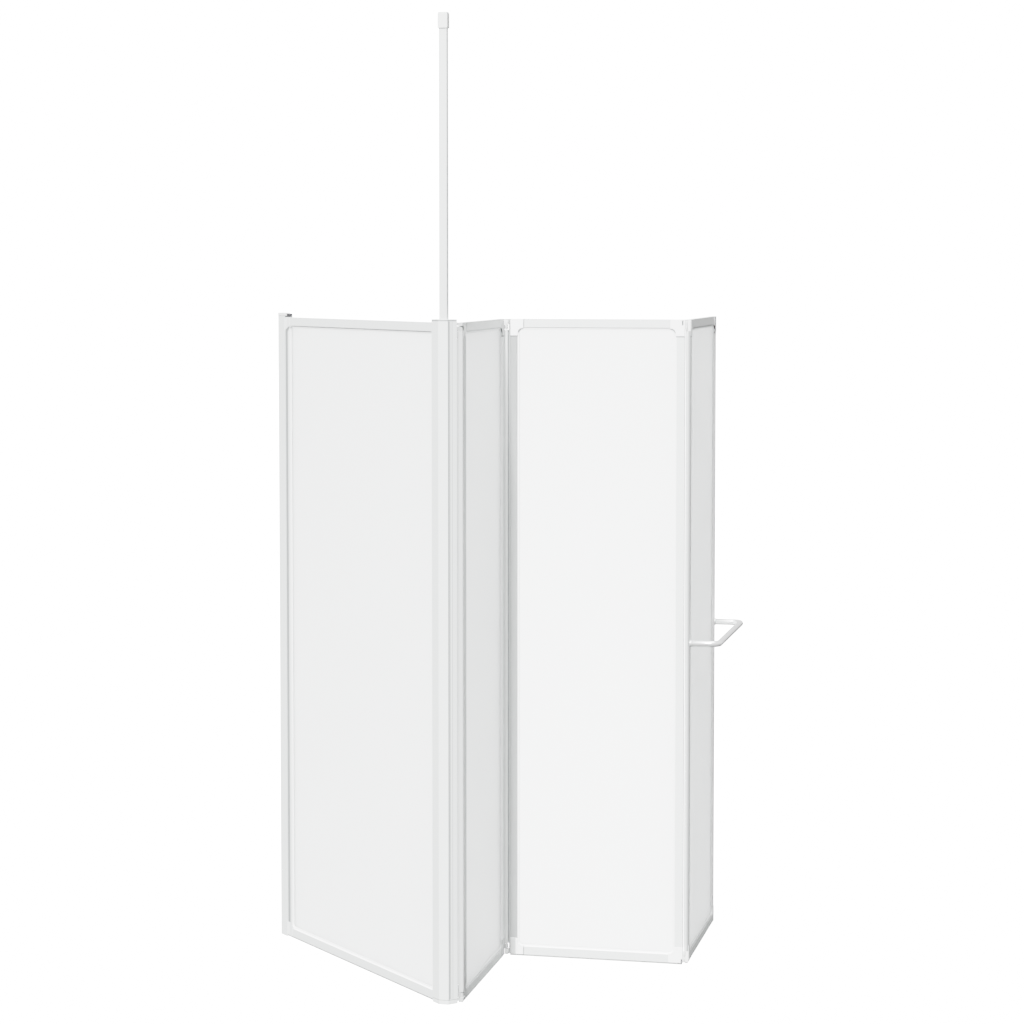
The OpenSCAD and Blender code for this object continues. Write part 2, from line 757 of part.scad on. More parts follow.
module ridge_hinge_pins() {
    color(steel_grey) for (upper = [false, true]) at_ridge() at_end(upper)
        translate([0, 0, 0.5]) cylinder(r = pin_r, h = knuckle_b1 - 0.5);
}

module leaf3_ridge_stile() { color(metal_white) at_leaf3() rail_bores() stile(false); }
module leaf3_end_stile() { color(metal_white) at_leaf3() rail_bores() stile(true); }
module leaf3_top_rail() { color(metal_white) at_leaf3() rail(true); }
module leaf3_bottom_rail() { color(metal_white) at_leaf3() rail(false); }
module leaf3_corners(upper) {
    color(plastic_white) at_leaf3() at_end(upper) {
        corner_ridge(false);
        at_side(true) corner_blank();
    }
}
module leaf3_top_corners() { leaf3_corners(true); }
module leaf3_bottom_corners() { leaf3_corners(false); }
module leaf3_sheet() { at_leaf3() leaf_sheet(); }
module leaf3_gasket() { at_leaf3() leaf_gasket(); }
module leaf3_bottom_seal() { at_leaf3() leaf_seal(); }

module end_seal() {
    color(seal_grey) at_leaf3() translate([leaf_w, -end_seal_w / 2, seal_h])
        cube([end_seal_out, end_seal_w, screen_h - seal_h]);
}

// Places children at each leg of the towel rail, with +Z out of the leaf's outer face.
module at_leg() {
    for (x = [rail_in, leaf_w - rail_in])
        translate([x, -half_t, rail_z]) rotate([90, 0, 0]) children();
}

// Bores through a stile for the towel rail's screws, with seats for their heads in the inner face.
module rail_bores() {
    difference() {
        children();
        at_leg() translate([0, 0, -frame_t - 1]) cylinder(r = rail_screw_r, h = frame_t + 2);
        at_leg() translate([0, 0, -frame_t - 1]) cylinder(r = rail_head_r + 0.2, h = rail_head_h + 1.2);
    }
}

module towel_rail() {
    leg = rail_out - rail_r - rail_bend;
    span = leaf_w - 2 * rail_in;
    color(metal_white) at_leaf3() difference() {
        union() {
            at_leg() translate([0, 0, flange_t]) cylinder(r = rail_r, h = leg - flange_t);
            translate([rail_in + rail_bend, -half_t - leg, rail_z]) rotate(180)
                rotate_extrude(angle = 90) translate([rail_bend, 0]) circle(rail_r);
            translate([leaf_w - rail_in - rail_bend, -half_t - leg, rail_z]) rotate(-90)
                rotate_extrude(angle = 90) translate([rail_bend, 0]) circle(rail_r);
            translate([rail_in + rail_bend, -half_t - leg - rail_bend, rail_z]) rotate([0, 90, 0])
                cylinder(r = rail_r, h = span - 2 * rail_bend);
        }
        at_leg() cylinder(r = rail_screw_r, h = flange_t + rail_screw_l + 0.5);
    }
}

module towel_rail_flanges() {
    color(metal_white) at_leaf3() difference() {
        at_leg() cylinder(r = flange_r, h = flange_t);
        at_leg() translate([0, 0, -1]) cylinder(r = rail_screw_r, h = flange_t + 2);
    }
}

module towel_rail_screws() {
    seat = frame_t - rail_head_h - 0.2;
    color(steel_grey) at_leaf3() at_leg() {
        translate([0, 0, -seat]) cylinder(r = rail_screw_r, h = seat + flange_t + rail_screw_l);
        translate([0, 0, -seat - rail_head_h]) cylinder(r = rail_head_r, h = rail_head_h);
    }
}

wall_channel();
wall_channel_cap();
stop_plug();
channel_screws();
side_wall_stile();
side_post_stile();
side_rail(true);  // side_top_rail
side_rail(false);  // side_bottom_rail
side_sheet();
side_gasket();
side_bottom_seal();
corner_post();
post_top_cap();
post_foot();
post_seal();
pivot_brackets();
bracket_screws();
pivot_pins();
pole_lock_screw();
pole_tube();
ceiling_cap();
ceiling_pad();
pole_end_plug();
leaf1_post_stile();
leaf1_valley_stile();
leaf1_top_rail();
leaf1_bottom_rail();
leaf1_top_corners();
leaf1_bottom_corners();
leaf1_sheet();
leaf1_gasket();
leaf1_bottom_seal();
valley_seal_bead();
leaf2_valley_stile();
leaf2_ridge_stile();
leaf2_top_rail();
leaf2_bottom_rail();
leaf2_top_corners();
leaf2_bottom_corners();
leaf2_sheet();
leaf2_gasket();
leaf2_bottom_seal();
valley_lip();
valley_hinge_pins();
ridge_hinge_pins();
leaf3_ridge_stile();
leaf3_end_stile();
leaf3_top_rail();
leaf3_bottom_rail();
leaf3_top_corners();
leaf3_bottom_corners();
leaf3_sheet();
leaf3_gasket();
leaf3_bottom_seal();
end_seal();
towel_rail();
towel_rail_flanges();
towel_rail_screws();
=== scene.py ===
"""A framed folding bath screen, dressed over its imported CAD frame.

The fixed side panel, the corner post with its ceiling pole and the three hinged
leaves keep their CAD solids. This script gives them rounded edges and finishes,
adds seals, thin trims, joint lines and screw heads, and sets the studio and the
camera. Lengths are in millimetres unless a docstring says metres.
"""

from __future__ import annotations

import json
import logging
import math
from dataclasses import dataclass
from enum import Enum
from functools import cache
from typing import Iterable, Mapping, Sequence

import bmesh
import bpy
from bmesh.types import BMEdge, BMesh, BMFace, BMVert
from bpy.types import Material, Node, NodeTree, Object
from mathutils import Matrix, Vector


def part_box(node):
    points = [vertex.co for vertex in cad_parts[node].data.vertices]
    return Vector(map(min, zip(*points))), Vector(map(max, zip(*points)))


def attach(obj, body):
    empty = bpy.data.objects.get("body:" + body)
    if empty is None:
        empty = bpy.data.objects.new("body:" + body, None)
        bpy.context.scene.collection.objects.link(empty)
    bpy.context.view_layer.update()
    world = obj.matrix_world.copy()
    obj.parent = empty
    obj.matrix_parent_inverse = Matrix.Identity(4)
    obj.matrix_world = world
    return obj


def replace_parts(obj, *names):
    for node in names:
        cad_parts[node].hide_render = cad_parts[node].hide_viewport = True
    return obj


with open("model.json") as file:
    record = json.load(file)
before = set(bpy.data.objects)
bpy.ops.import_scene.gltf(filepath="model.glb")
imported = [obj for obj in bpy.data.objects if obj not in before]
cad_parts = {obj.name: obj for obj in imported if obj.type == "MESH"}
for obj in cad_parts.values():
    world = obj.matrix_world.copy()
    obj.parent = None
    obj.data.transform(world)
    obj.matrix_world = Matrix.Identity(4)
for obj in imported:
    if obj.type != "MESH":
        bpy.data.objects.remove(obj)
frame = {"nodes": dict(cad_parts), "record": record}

log = logging.getLogger("bath_screen")

MM = 0.001
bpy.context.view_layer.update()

Points = Sequence[Sequence[float]]
Outline = list[tuple[float, float]]
Span = tuple[float, float]
Triple = tuple[float, float, float]
Length = tuple[Points, float, float]


class Slot(Enum):
    """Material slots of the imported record."""

    FRAME = "white_frame"
    PLASTIC = "white_plastic"
    SHEET = "milky_sheet"
    SEAL = "soft_seal"
    STEEL = "plain_steel"
    BLACK = "black_plastic"


# Finishes


def fill(node: Node, values: Mapping[str | int, object]) -> Node:
    """Sets a node's inputs.

    Args:
        node: The node.
        values: The values, by the inputs' names or numbers.

    Returns:
        The same node.
    """
    for key, value in values.items():
        node.inputs[key].default_value = value
    return node


def wire(tree: NodeTree, *wires: tuple[Node, str | int, Node, str | int]) -> None:
    """Links the nodes of a tree, each link given as source, output, target and input."""
    for source, output, target, entry in wires:
        tree.links.new(source.outputs[output], target.inputs[entry])


def satin_grain_group() -> NodeTree:
    """Builds the shared effect of fine coat grain and handling marks.

    Returns:
        A group with the inputs Vector, Grain Scale, Mark Scale and Mark Depth and
        the outputs Height, Mark and Shade.
    """
    group = bpy.data.node_groups.new("satin_grain", "ShaderNodeTree")
    for name in ("Vector", "Grain Scale", "Mark Scale", "Mark Depth"):
        kind = "NodeSocketVector" if name == "Vector" else "NodeSocketFloat"
        group.interface.new_socket(name=name, in_out="INPUT", socket_type=kind)
    for name in ("Height", "Mark", "Shade"):
        group.interface.new_socket(name=name, in_out="OUTPUT", socket_type="NodeSocketFloat")
    nodes = group.nodes
    inp, out = nodes.new("NodeGroupInput"), nodes.new("NodeGroupOutput")
    grain = fill(nodes.new("ShaderNodeTexNoise"), {"Detail": 3.0})
    cloud = fill(nodes.new("ShaderNodeTexNoise"), {"Detail": 4.0, "Roughness": 0.6})
    mark = nodes.new("ShaderNodeMath")
    mark.operation = "MULTIPLY"
    spread = {"From Min": 0.3, "From Max": 0.7, "To Min": 0.985, "To Max": 1.0}
    shade = fill(nodes.new("ShaderNodeMapRange"), spread)
    wire(
        group,
        (inp, "Vector", grain, "Vector"),
        (inp, "Vector", cloud, "Vector"),
        (inp, "Grain Scale", grain, "Scale"),
        (inp, "Mark Scale", cloud, "Scale"),
        (cloud, "Fac", mark, 0),
        (inp, "Mark Depth", mark, 1),
        (cloud, "Fac", shade, "Value"),
        (grain, "Fac", out, "Height"),
        (mark, "Value", out, "Mark"),
        (shade, "Result", out, "Shade"),
    )
    return group


GRAIN = satin_grain_group()
MARKS_PER_METRE = 7.0
BUMP_STRENGTH = 0.6
EVEN = (1.0, 1.0, 1.0)
DRAWN = (1.0, 1.0, 0.2)
BRUSHED = (1.0, 1.0, 0.05)


@dataclass(frozen=True)
class Finish:
    """A moulded or coated surface with fine grain.

    Attributes:
        name: The material's name.
        color: Base colour, linear.
        roughness: Mean roughness.
        bump_mm: Depth of the grain.
        grain_scale: Grain cells per metre.
        roughness_swing: How far handling marks move the roughness.
        metallic: Metallic share.
        transmission: Share of light that passes through.
        ior: Index of refraction.
        stretch: Scale of the pattern along X, Y and Z.
    """

    name: str
    color: Triple
    roughness: float
    bump_mm: float = 0.02
    grain_scale: float = 900.0
    roughness_swing: float = 0.08
    metallic: float = 0.0
    transmission: float = 0.0
    ior: float = 1.5
    stretch: Triple = EVEN

    @cache
    def material(self) -> Material:
        """Makes the finish's material, once.

        Returns:
            The material.
        """
        mat = bpy.data.materials.new(self.name)
        mat.use_nodes = True
        nodes = mat.node_tree.nodes
        nodes.clear()
        out = nodes.new("ShaderNodeOutputMaterial")
        optics = {"Metallic": self.metallic, "Transmission Weight": self.transmission, "IOR": self.ior}
        bsdf = fill(nodes.new("ShaderNodeBsdfPrincipled"), optics)
        coord = nodes.new("ShaderNodeTexCoord")
        mapping = fill(nodes.new("ShaderNodeMapping"), {"Scale": self.stretch})
        grain = nodes.new("ShaderNodeGroup")
        grain.node_tree = GRAIN
        pattern = {"Grain Scale": self.grain_scale, "Mark Scale": MARKS_PER_METRE}
        fill(grain, {**pattern, "Mark Depth": self.roughness_swing})
        rough = fill(nodes.new("ShaderNodeMath"), {1: self.roughness - self.roughness_swing / 2})
        rough.operation = "ADD"
        tint = nodes.new("ShaderNodeMix")
        tint.data_type = "RGBA"
        tint.blend_type = "MULTIPLY"
        fill(tint, {"Factor": 1.0, "A": (*self.color, 1.0)})
        depth = {"Distance": self.bump_mm * MM, "Strength": BUMP_STRENGTH}
        bump = fill(nodes.new("ShaderNodeBump"), depth)
        wire(
            mat.node_tree,
            (coord, "Object", mapping, "Vector"),
            (mapping, "Vector", grain, "Vector"),
            (grain, "Shade", tint, "B"),
            (tint, "Result", bsdf, "Base Color"),
            (grain, "Mark", rough, 0),
            (rough, "Value", bsdf, "Roughness"),
            (grain, "Height", bump, "Height"),
            (bump, "Normal", bsdf, "Normal"),
            (bsdf, "BSDF", out, "Surface"),
        )
        return mat


WHITE_COAT = Finish("white_powder_coat", (0.62, 0.65, 0.64), 0.42, 0.015)
WHITE_MOULDING = Finish("white_moulding", (0.72, 0.74, 0.73), 0.34, 0.012, 1400.0)
# Painted sheen: a whiter copy of the white moulding, used on the middle leaf's corner covers as a painted
# highlight.
PAINTED_SHEEN_COVER = Finish("painted_sheen_white_cover", (0.92, 0.93, 0.93), 0.3, 0.01, 1400.0)
WHITE_TUBE = Finish("bright_tube", (0.94, 0.95, 0.95), 0.2, 0.004, roughness_swing=0.04, metallic=0.8)
# Painted shade: a grey copy of the white moulding for the first leaf's corner pieces and covers, which
# stand in shade.
PAINTED_SHADE_MOULDING = Finish("painted_shade_grey_moulding", (0.44, 0.455, 0.45), 0.36, 0.012, 1400.0)
# Painted shade: dark grey for the middle leaf's valley rib and profile and a line on the post's face.
PAINTED_SHADE_PROFILE = Finish("painted_shade_profile", (0.215, 0.225, 0.222), 0.6, 0.03, 1300.0, stretch=DRAWN)
# Grey trim that mostly paints shade: on the pivot brackets, the outer leaves' rail covers, the first
# leaf's end strip and profile, the middle leaf's foot pad, the end leaf's ridge strip and the post's face
# lines; the hinge caps also take it.
GREY_TRIM_AND_PAINTED_SHADE = Finish("grey_trim_and_painted_shade", (0.38, 0.395, 0.39), 0.6, 0.03, 1300.0, stretch=DRAWN)
MILKY_SHEET = Finish("milky_sheet", (0.93, 0.95, 0.945), 0.55, 0.05, 260.0, transmission=0.88, ior=1.3)
SOFT_VINYL = Finish("soft_vinyl", (0.56, 0.58, 0.57), 0.5, 0.02, 700.0)
WHITE_GASKET = Finish("white_gasket", (0.90, 0.91, 0.91), 0.45, 0.01, 1000.0)
# Dark wiper grey: the valley lip's seal and the dark joint lines, and painted shade in the side panel's
# groove, the post's groove, the hinge gaps and strips, the middle leaf's corner pads and under the post's
# cap.
DARK_WIPER_AND_PAINTED_SHADE = Finish("dark_wiper_and_painted_shade", (0.16, 0.17, 0.17), 0.75, 0.05, 1500.0, stretch=DRAWN)
PLAIN_STEEL = Finish("plain_steel", (0.62, 0.63, 0.64), 0.28, 0.02, 1600.0, metallic=1.0, stretch=BRUSHED)
# Black moulding for the record's black parts, and painted shade as the outer leaves' corner pads and the
# middle leaf's hinge slots.
BLACK_MOULDING_AND_PAINTED_SHADE = Finish("black_moulding_and_painted_shade", (0.018, 0.018, 0.02), 0.38, 0.02, 1200.0)

FINISH_OF_SLOT = {
    Slot.FRAME: WHITE_COAT,
    Slot.PLASTIC: WHITE_MOULDING,
    Slot.SHEET: MILKY_SHEET,
    Slot.SEAL: SOFT_VINYL,
    Slot.STEEL: PLAIN_STEEL,
    Slot.BLACK: BLACK_MOULDING_AND_PAINTED_SHADE,
}
FINISH_OF_NODE = {
    # Painted shade: the pivot brackets and the first leaf's corner pieces get darker greys than the same
    # white parts elsewhere.
    "pivot_brackets": GREY_TRIM_AND_PAINTED_SHADE,
    "leaf1_top_corners": PAINTED_SHADE_MOULDING,
    "leaf1_bottom_corners": PAINTED_SHADE_MOULDING,
    "valley_lip": DARK_WIPER_AND_PAINTED_SHADE,
}
UNROUNDED = (MILKY_SHEET, SOFT_VINYL, PLAIN_STEEL, WHITE_GASKET, DARK_WIPER_AND_PAINTED_SHADE)


def finish_of(node: str) -> Finish:
    """Chooses a CAD node's finish.

    Args:
        node: The node's name.

    Returns:
        The node's own finish, or that of its material slot in the record.
    """
    slots = {row["node"]: row["material_slot"] for row in frame["record"]["subparts"]}
    usual = FINISH_OF_SLOT[Slot(slots[node])]
    if "gasket" in node:
        return WHITE_GASKET
    if node.startswith("towel_rail") and usual is WHITE_COAT:
        return WHITE_TUBE
    return FINISH_OF_NODE.get(node, usual)


def round_edges(obj: Object, width: float) -> None:
    """Adds the modifier that rounds an object's edges.

    Args:
        obj: The object.
        width: Width of the rounding.
    """
    edge = obj.modifiers.new("round", "BEVEL")
    edge.width = width * MM
    edge.segments = 2
    edge.limit_method = "ANGLE"
    edge.angle_limit = math.radians(40)


@dataclass
class Dresser:
    """Gives CAD nodes their finish and their rounded edges.

    Attributes:
        edge: Width of the rounded edges.
    """

    edge: float = 0.5

    def dress(self, node: str) -> None:
        """Finishes one CAD node.

        Args:
            node: The CAD node's name.
        """
        obj = frame["nodes"][node]
        finish = finish_of(node)
        if not obj.material_slots:
            obj.data.materials.append(finish.material())
        for held in obj.material_slots:
            held.link = "OBJECT"
            held.material = finish.material()
        if finish not in UNROUNDED:
            weld = obj.modifiers.new("merge", "WELD")
            weld.merge_threshold = 0.02 * MM
            clean = obj.modifiers.new("clean", "DECIMATE")
            clean.decimate_type = "DISSOLVE"
            clean.angle_limit = math.radians(0.5)
            round_edges(obj, self.edge)
        log.info("finished %s with %s", node, finish.name)


# Camera and studio


def add_object(name: str, data: bpy.types.ID) -> Object:
    """Adds an object to the scene and returns it."""
    obj = bpy.data.objects.new(name, data)
    bpy.context.scene.collection.objects.link(obj)
    return obj


@dataclass
class Camera:
    """The camera at the photograph's place.

    Attributes:
        place: Where it stands, in metres.
        yaw_deg: Its heading, from the scene's Y towards X.
        pitch_deg: How far it looks down.
        lens: Focal length.
        shift_y: Upright shift of the picture.
    """

    place: Triple = (-2.8346, -4.7006, 1.5177)
    yaw_deg: float = 32.531
    pitch_deg: float = 3.396
    lens: float = 95.15
    shift_y: float = -0.085

    def make(self) -> None:
        """Creates the camera and sets it as the scene's own."""
        data = bpy.data.cameras.new("camera")
        data.sensor_width = 36.0
        data.lens = self.lens
        data.shift_y = self.shift_y
        data.clip_end = 100.0
        cam = add_object("camera", data)
        cam.location = self.place
        tilt = math.pi / 2 - math.radians(self.pitch_deg)
        cam.rotation_euler = (tilt, 0.0, -math.radians(self.yaw_deg))
        bpy.context.scene.camera = cam


@dataclass
class Studio:
    """The white surround, the key light, the light from above and the pale floor.

    Attributes:
        ambient: Brightness that lights the screen from all round.
        below: Brightness that the floor gives the screen.
        through: Brightness seen through the milky sheets.
        backdrop: Brightness that the camera sees.
        key: Strength of the key light.
        key_angle_deg: Apparent size of the key light.
        key_towards: The way that the key light shines.
        top: Strength of the light from above.
        top_angle_deg: Apparent size of the light from above.
        top_towards: The way that it shines.
        floor_reach: Half the floor's width, in metres.
        floor_drop: How far the floor lies under the screen, in metres.
    """

    ambient: float = 1.6
    below: float = 0.4
    through: float = 8.9
    backdrop: float = 24.0
    key: float = 27.5
    key_angle_deg: float = 4.0
    key_towards: Triple = (0.5171, 0.4822, -0.7071)
    top: float = 9.0
    top_angle_deg: float = 50.0
    top_towards: Triple = (0.1, 0.1, -0.99)
    floor_reach: float = 30.0
    floor_drop: float = 0.0005

    def make(self) -> None:
        """Builds the world, the lights and the floor."""
        self.surround()
        self.lamp("key", self.key, self.key_angle_deg, self.key_towards)
        self.lamp("top", self.top, self.top_angle_deg, self.top_towards)
        self.floor()

    def glow(self, tree: NodeTree, emitter: str, output: str, spread: float) -> None:
        """Fills a node tree with a white glow.

        Args:
            tree: The node tree of the world or the floor.
            emitter: The glowing node's type.
            output: The output node's type.
            spread: The brightness that lights the screen.
        """
        nodes = tree.nodes
        nodes.clear()
        path, lit, out = nodes.new("ShaderNodeLightPath"), nodes.new(emitter), nodes.new(output)
        seen = fill(nodes.new("ShaderNodeMath"), {1: self.backdrop - spread, 2: spread})
        sheet = fill(nodes.new("ShaderNodeMath"), {1: self.through - spread})
        for node in (seen, sheet):
            node.operation = "MULTIPLY_ADD"
        wire(
            tree,
            (path, "Is Camera Ray", seen, 0),
            (path, "Is Transmission Ray", sheet, 0),
            (seen, "Value", sheet, 2),
            (sheet, "Value", lit, "Strength"),
            (lit, 0, out, "Surface"),
        )

    def surround(self) -> None:
        """Builds a world that shows white and lights the screen evenly."""
        world = bpy.data.worlds.new("white_surround")
        bpy.context.scene.world = world
        world.use_nodes = True
        self.glow(world.node_tree, "ShaderNodeBackground", "ShaderNodeOutputWorld", self.ambient)

    def lamp(self, name: str, energy: float, angle_deg: float, towards: Sequence[float]) -> None:
        """Adds one far light.

        Args:
            name: The light's name.
            energy: Its strength.
            angle_deg: Its apparent size in degrees.
            towards: The way that it shines.
        """
        data = bpy.data.lights.new(name, "SUN")
        data.energy = energy
        data.angle = math.radians(angle_deg)
        lamp = add_object(name, data)
        lamp.rotation_euler = Vector(towards).to_track_quat("-Z", "Y").to_euler()

    def floor(self) -> None:
        """Lays the pale floor that the screen stands on."""
        grid = bmesh.new()
        bmesh.ops.create_grid(grid, x_segments=1, y_segments=1, size=self.floor_reach)
        bmesh.ops.translate(grid, vec=(0.0, 0.0, -self.floor_drop), verts=grid.verts)
        mesh = bpy.data.meshes.new("floor")
        grid.to_mesh(mesh)
        grid.free()
        obj = add_object("floor", mesh)
        mat = bpy.data.materials.new("pale_floor")
        mat.use_nodes = True
        self.glow(mat.node_tree, "ShaderNodeEmission", "ShaderNodeOutputMaterial", self.below)
        mesh.materials.append(mat)


# Places and shapes


@dataclass(frozen=True)
class Place:
    """A plate's own directions: X along it, Y through it, Z up.

    Attributes:
        body: The body that it rides on.
        origin: Where its near end stands, at mid thickness.
        angle_deg: Turn of its length from the scene's X.
        length: Its length.
    """

    body: str
    origin: Span
    angle_deg: float
    length: float

    def matrix(self) -> Matrix:
        """Returns the change from the plate's millimetres to the scene's metres."""
        turn = Matrix.Rotation(math.radians(self.angle_deg), 4, "Z")
        move = Matrix.Translation((self.origin[0] * MM, self.origin[1] * MM, 0.0))
        return move @ turn @ Matrix.Scale(MM, 4)


FIRST_LEAF = Place("first_leaf", (31.0574, -12.6426), 45.0, 386.0)
MIDDLE_LEAF = Place("middle_leaf", (322.6682, 260.3006), -45.0, 386.0)
END_LEAF = Place("end_leaf", (603.5310, -12.6427), 45.0, 386.0)
SIDE_PANEL = Place("side_panel_and_post", (-5.2, 690.0), -90.0, 675.6)
POST = Place("side_panel_and_post", (0.0, 0.0), 0.0, 0.0)
LEAVES = (FIRST_LEAF, MIDDLE_LEAF, END_LEAF)

# Sizes after the CAD source: X from a plate's near end, Y from mid thickness, Z from the rim.
FRAME_W = 20.0
BEVEL_W = 2.4
HALF_T = 5.0
LIP_H = 2.8
SHEET_HALF = 1.5
BEAD_H = 2.95
TOP = 1400.0
SEAL_H = 4.0
SIDE_OPENING = (41.5, 664.0)
CORNER_X = 32.0
CORNER_Z = 36.0
CORNER_R = 10.0
POST_FACE = 14.0
SMALL_EDGE = 0.3

# An edge of a plate and the way from it into the plate.
UPPER_EDGE = (TOP, -1.0)
LOWER_EDGE = (SEAL_H, 1.0)
BOTH_SIDES = (-1.0, 1.0)


def picked(result: dict, kind: type) -> list:
    """Returns the elements of one kind that a mesh operator made."""
    return [item for item in result["geom"] if isinstance(item, kind)]


class Workpiece:
    """A mesh in the making, in the millimetres of its place."""

    def __init__(self, place: Place) -> None:
        """Starts an empty mesh that follows a plate's directions."""
        self.place = place
        self.mesh = bmesh.new()

    def prism(self, outline: Points, axis: str, low: float, high: float) -> None:
        """Adds a straight length of a section.

        Args:
            outline: The section's points in the two other directions, in order.
            axis: X, Y or Z, the way that the length runs.
            low: Where the length starts.
            high: Where it ends.
        """
        turn = "XYZ".index(axis)
        corners = [(*point[:turn], low, *point[turn:]) for point in outline]
        face = self.mesh.faces.new([self.mesh.verts.new(corner) for corner in corners])
        made = bmesh.ops.extrude_face_region(self.mesh, geom=[face])
        step = Vector((0.0, 0.0, 0.0))
        step[turn] = high - low
        bmesh.ops.translate(self.mesh, vec=step, verts=picked(made, BMVert))

    def holed_prism(self, outer: Points, inner: Points, low: float, high: float) -> None:
        """Adds an upright hollow length.

        Args:
            outer: The section's outer points, as X and Y.
            inner: Its inner points.
            low: Where the length starts.
            high: Where it ends.
        """
        edges = []
        for points in (outer, inner):
            edges += edge_loop(self.mesh, [(x, y, low) for x, y in points])
        made = bmesh.ops.triangle_fill(self.mesh, use_beauty=True, use_dissolve=True, edges=edges)
        grown = bmesh.ops.extrude_face_region(self.mesh, geom=picked(made, BMFace), use_keep_orig=True)
        bmesh.ops.translate(self.mesh, vec=(0.0, 0.0, high - low), verts=picked(grown, BMVert))

    def ring(self, box: Sequence[float], radius: float, section: Points, steps: int = 6) -> None:
        """Adds a section swept round the inside of an opening with rounded corners.

        Args:
            box: The opening's low X, low Z, high X and high Z.
            radius: Radius of its corners.
            section: Points as distance into the opening and Y.
            steps: How many chords a corner has.
        """
        low_x, low_z = box[0] + radius, box[1] + radius
        high_x, high_z = box[2] - radius, box[3] - radius
        loops = []
        middles = ((high_x, high_z), (low_x, high_z), (low_x, low_z), (high_x, low_z))
        for count, (x, z) in enumerate(middles):
            for i in range(steps + 1):
                turn = math.radians(90.0 * (count + i / steps))
                way = Vector((math.cos(turn), 0.0, math.sin(turn)))
                points = [Vector((x, y, z)) + way * (radius - d) for d, y in section]
                loops.append(edge_loop(self.mesh, points))
        for one, other in zip(loops, loops[1:] + loops[:1]):
            bmesh.ops.bridge_loops(self.mesh, edges=one + other)

    def finish(self, name: str, slot: Slot, look: Finish, edge: float = 0.0) -> Object:
        """Turns the mesh into a finished piece that rides on its place's body.

        Args:
            name: The piece's name.
            slot: Not used.
            look: Its finish.
            edge: Width of its rounded edges.

        Returns:
            The piece.
        """
        bmesh.ops.remove_doubles(self.mesh, verts=self.mesh.verts, dist=0.0005)
        bmesh.ops.recalc_face_normals(self.mesh, faces=self.mesh.faces)
        bmesh.ops.transform(self.mesh, matrix=self.place.matrix(), verts=self.mesh.verts)
        mesh = bpy.data.meshes.new(name)
        self.mesh.to_mesh(mesh)
        self.mesh.free()
        mesh.polygons.foreach_set("use_smooth", [True] * len(mesh.polygons))
        mesh.set_sharp_from_angle(angle=math.radians(35))
        mesh.materials.append(look.material())
        obj = add_object(name, mesh)
        if edge > 0:
            round_edges(obj, edge)
        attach(obj, self.place.body)
        log.info("made %s on %s", name, self.place.body)
        return obj


def edge_loop(work: BMesh, points: Points) -> list[BMEdge]:
    """Adds a closed line through the points to a mesh and returns its edges."""
    verts = [work.verts.new(point) for point in points]
    return [work.edges.new((vert, verts[(i + 1) % len(verts)])) for i, vert in enumerate(verts)]


def arc(centre: Sequence[float], radius: float, start: float, end: float, steps: int) -> Outline:
    """Returns points on an arc.

    Args:
        centre: The arc's centre.
        radius: Its radius.
        start: Where it starts, in degrees.
        end: Where it ends, in degrees.
        steps: How many chords it has.

    Returns:
        The points, both ends included.
    """
    turns = [math.radians(start + (end - start) * i / steps) for i in range(steps + 1)]
    return [(centre[0] + radius * math.cos(t), centre[1] + radius * math.sin(t)) for t in turns]


def circle(centre: Sequence[float], radius: float, count: int) -> Outline:
    """Returns evenly spaced points on a full circle."""
    return arc(centre, radius, 0.0, 360.0 - 360.0 / count, count - 1)


def from_corner(points: Points, start: float, along: float, edge: float, way: float) -> Outline:
    """Turns distances from a plate's end and edge, each with its way inwards, into X and Z."""
    return [(start + along * a, edge + way * b) for a, b in points]


def upright(
    place: Place, name: str, look: Finish, lengths: Iterable[Length], slot: Slot = Slot.SEAL
) -> None:
    """Makes one piece of straight upright lengths.

    Args:
        place: The plate whose directions it follows.
        name: The piece's name.
        look: Its finish.
        lengths: Each length's section, start and end.
        slot: Passed on to the piece, which does not use it.
    """
    piece = Workpiece(place)
    for section, low, high in lengths:
        piece.prism(section, "Z", low, high)
    piece.finish(name, slot, look)


# Seals


@dataclass
class FinnedSeals:
    """The soft seals under the frames, each a base with three fins.

    Attributes:
        width: Width of a seal.
        base: Thickness of its base.
        fin: Thickness of a fin at its root.
        tip: Thickness of a fin at its tip.
        inset: How far a leaf's seal ends inside the leaf.
    """

    width: float = 6.0
    base: float = 1.3
    fin: float = 1.1
    tip: float = 0.6
    inset: float = 2.0

    def section(self) -> Outline:
        """Returns the seal's section as Y and Z points."""
        half = self.width / 2
        roots = (half - self.fin / 2, 0.0, -half + self.fin / 2)
        points = [(-half, SEAL_H), (half, SEAL_H)]
        under = SEAL_H - self.base
        for middle in roots:
            points += [(middle + self.fin / 2, under), (middle + self.tip / 2, 0.0)]
            points += [(middle - self.tip / 2, 0.0), (middle - self.fin / 2, under)]
        return points

    def build(self) -> None:
        """Makes the seals of the leaves and of the side panel."""
        for count, place in enumerate(LEAVES, 1):
            self.hang(place, f"leaf{count}_bottom_seal", self.inset)
        self.hang(SIDE_PANEL, "side_bottom_seal", 0.0)

    def hang(self, place: Place, node: str, inset: float) -> None:
        """Makes one seal in place of its CAD node.

        Args:
            place: The plate that it hangs under.
            node: The CAD node's name.
            inset: How far it ends inside the plate.
        """
        piece = Workpiece(place)
        piece.prism(self.section(), "X", inset, place.length - inset)
        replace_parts(piece.finish(f"{node}_fins", Slot.SEAL, SOFT_VINYL), node)


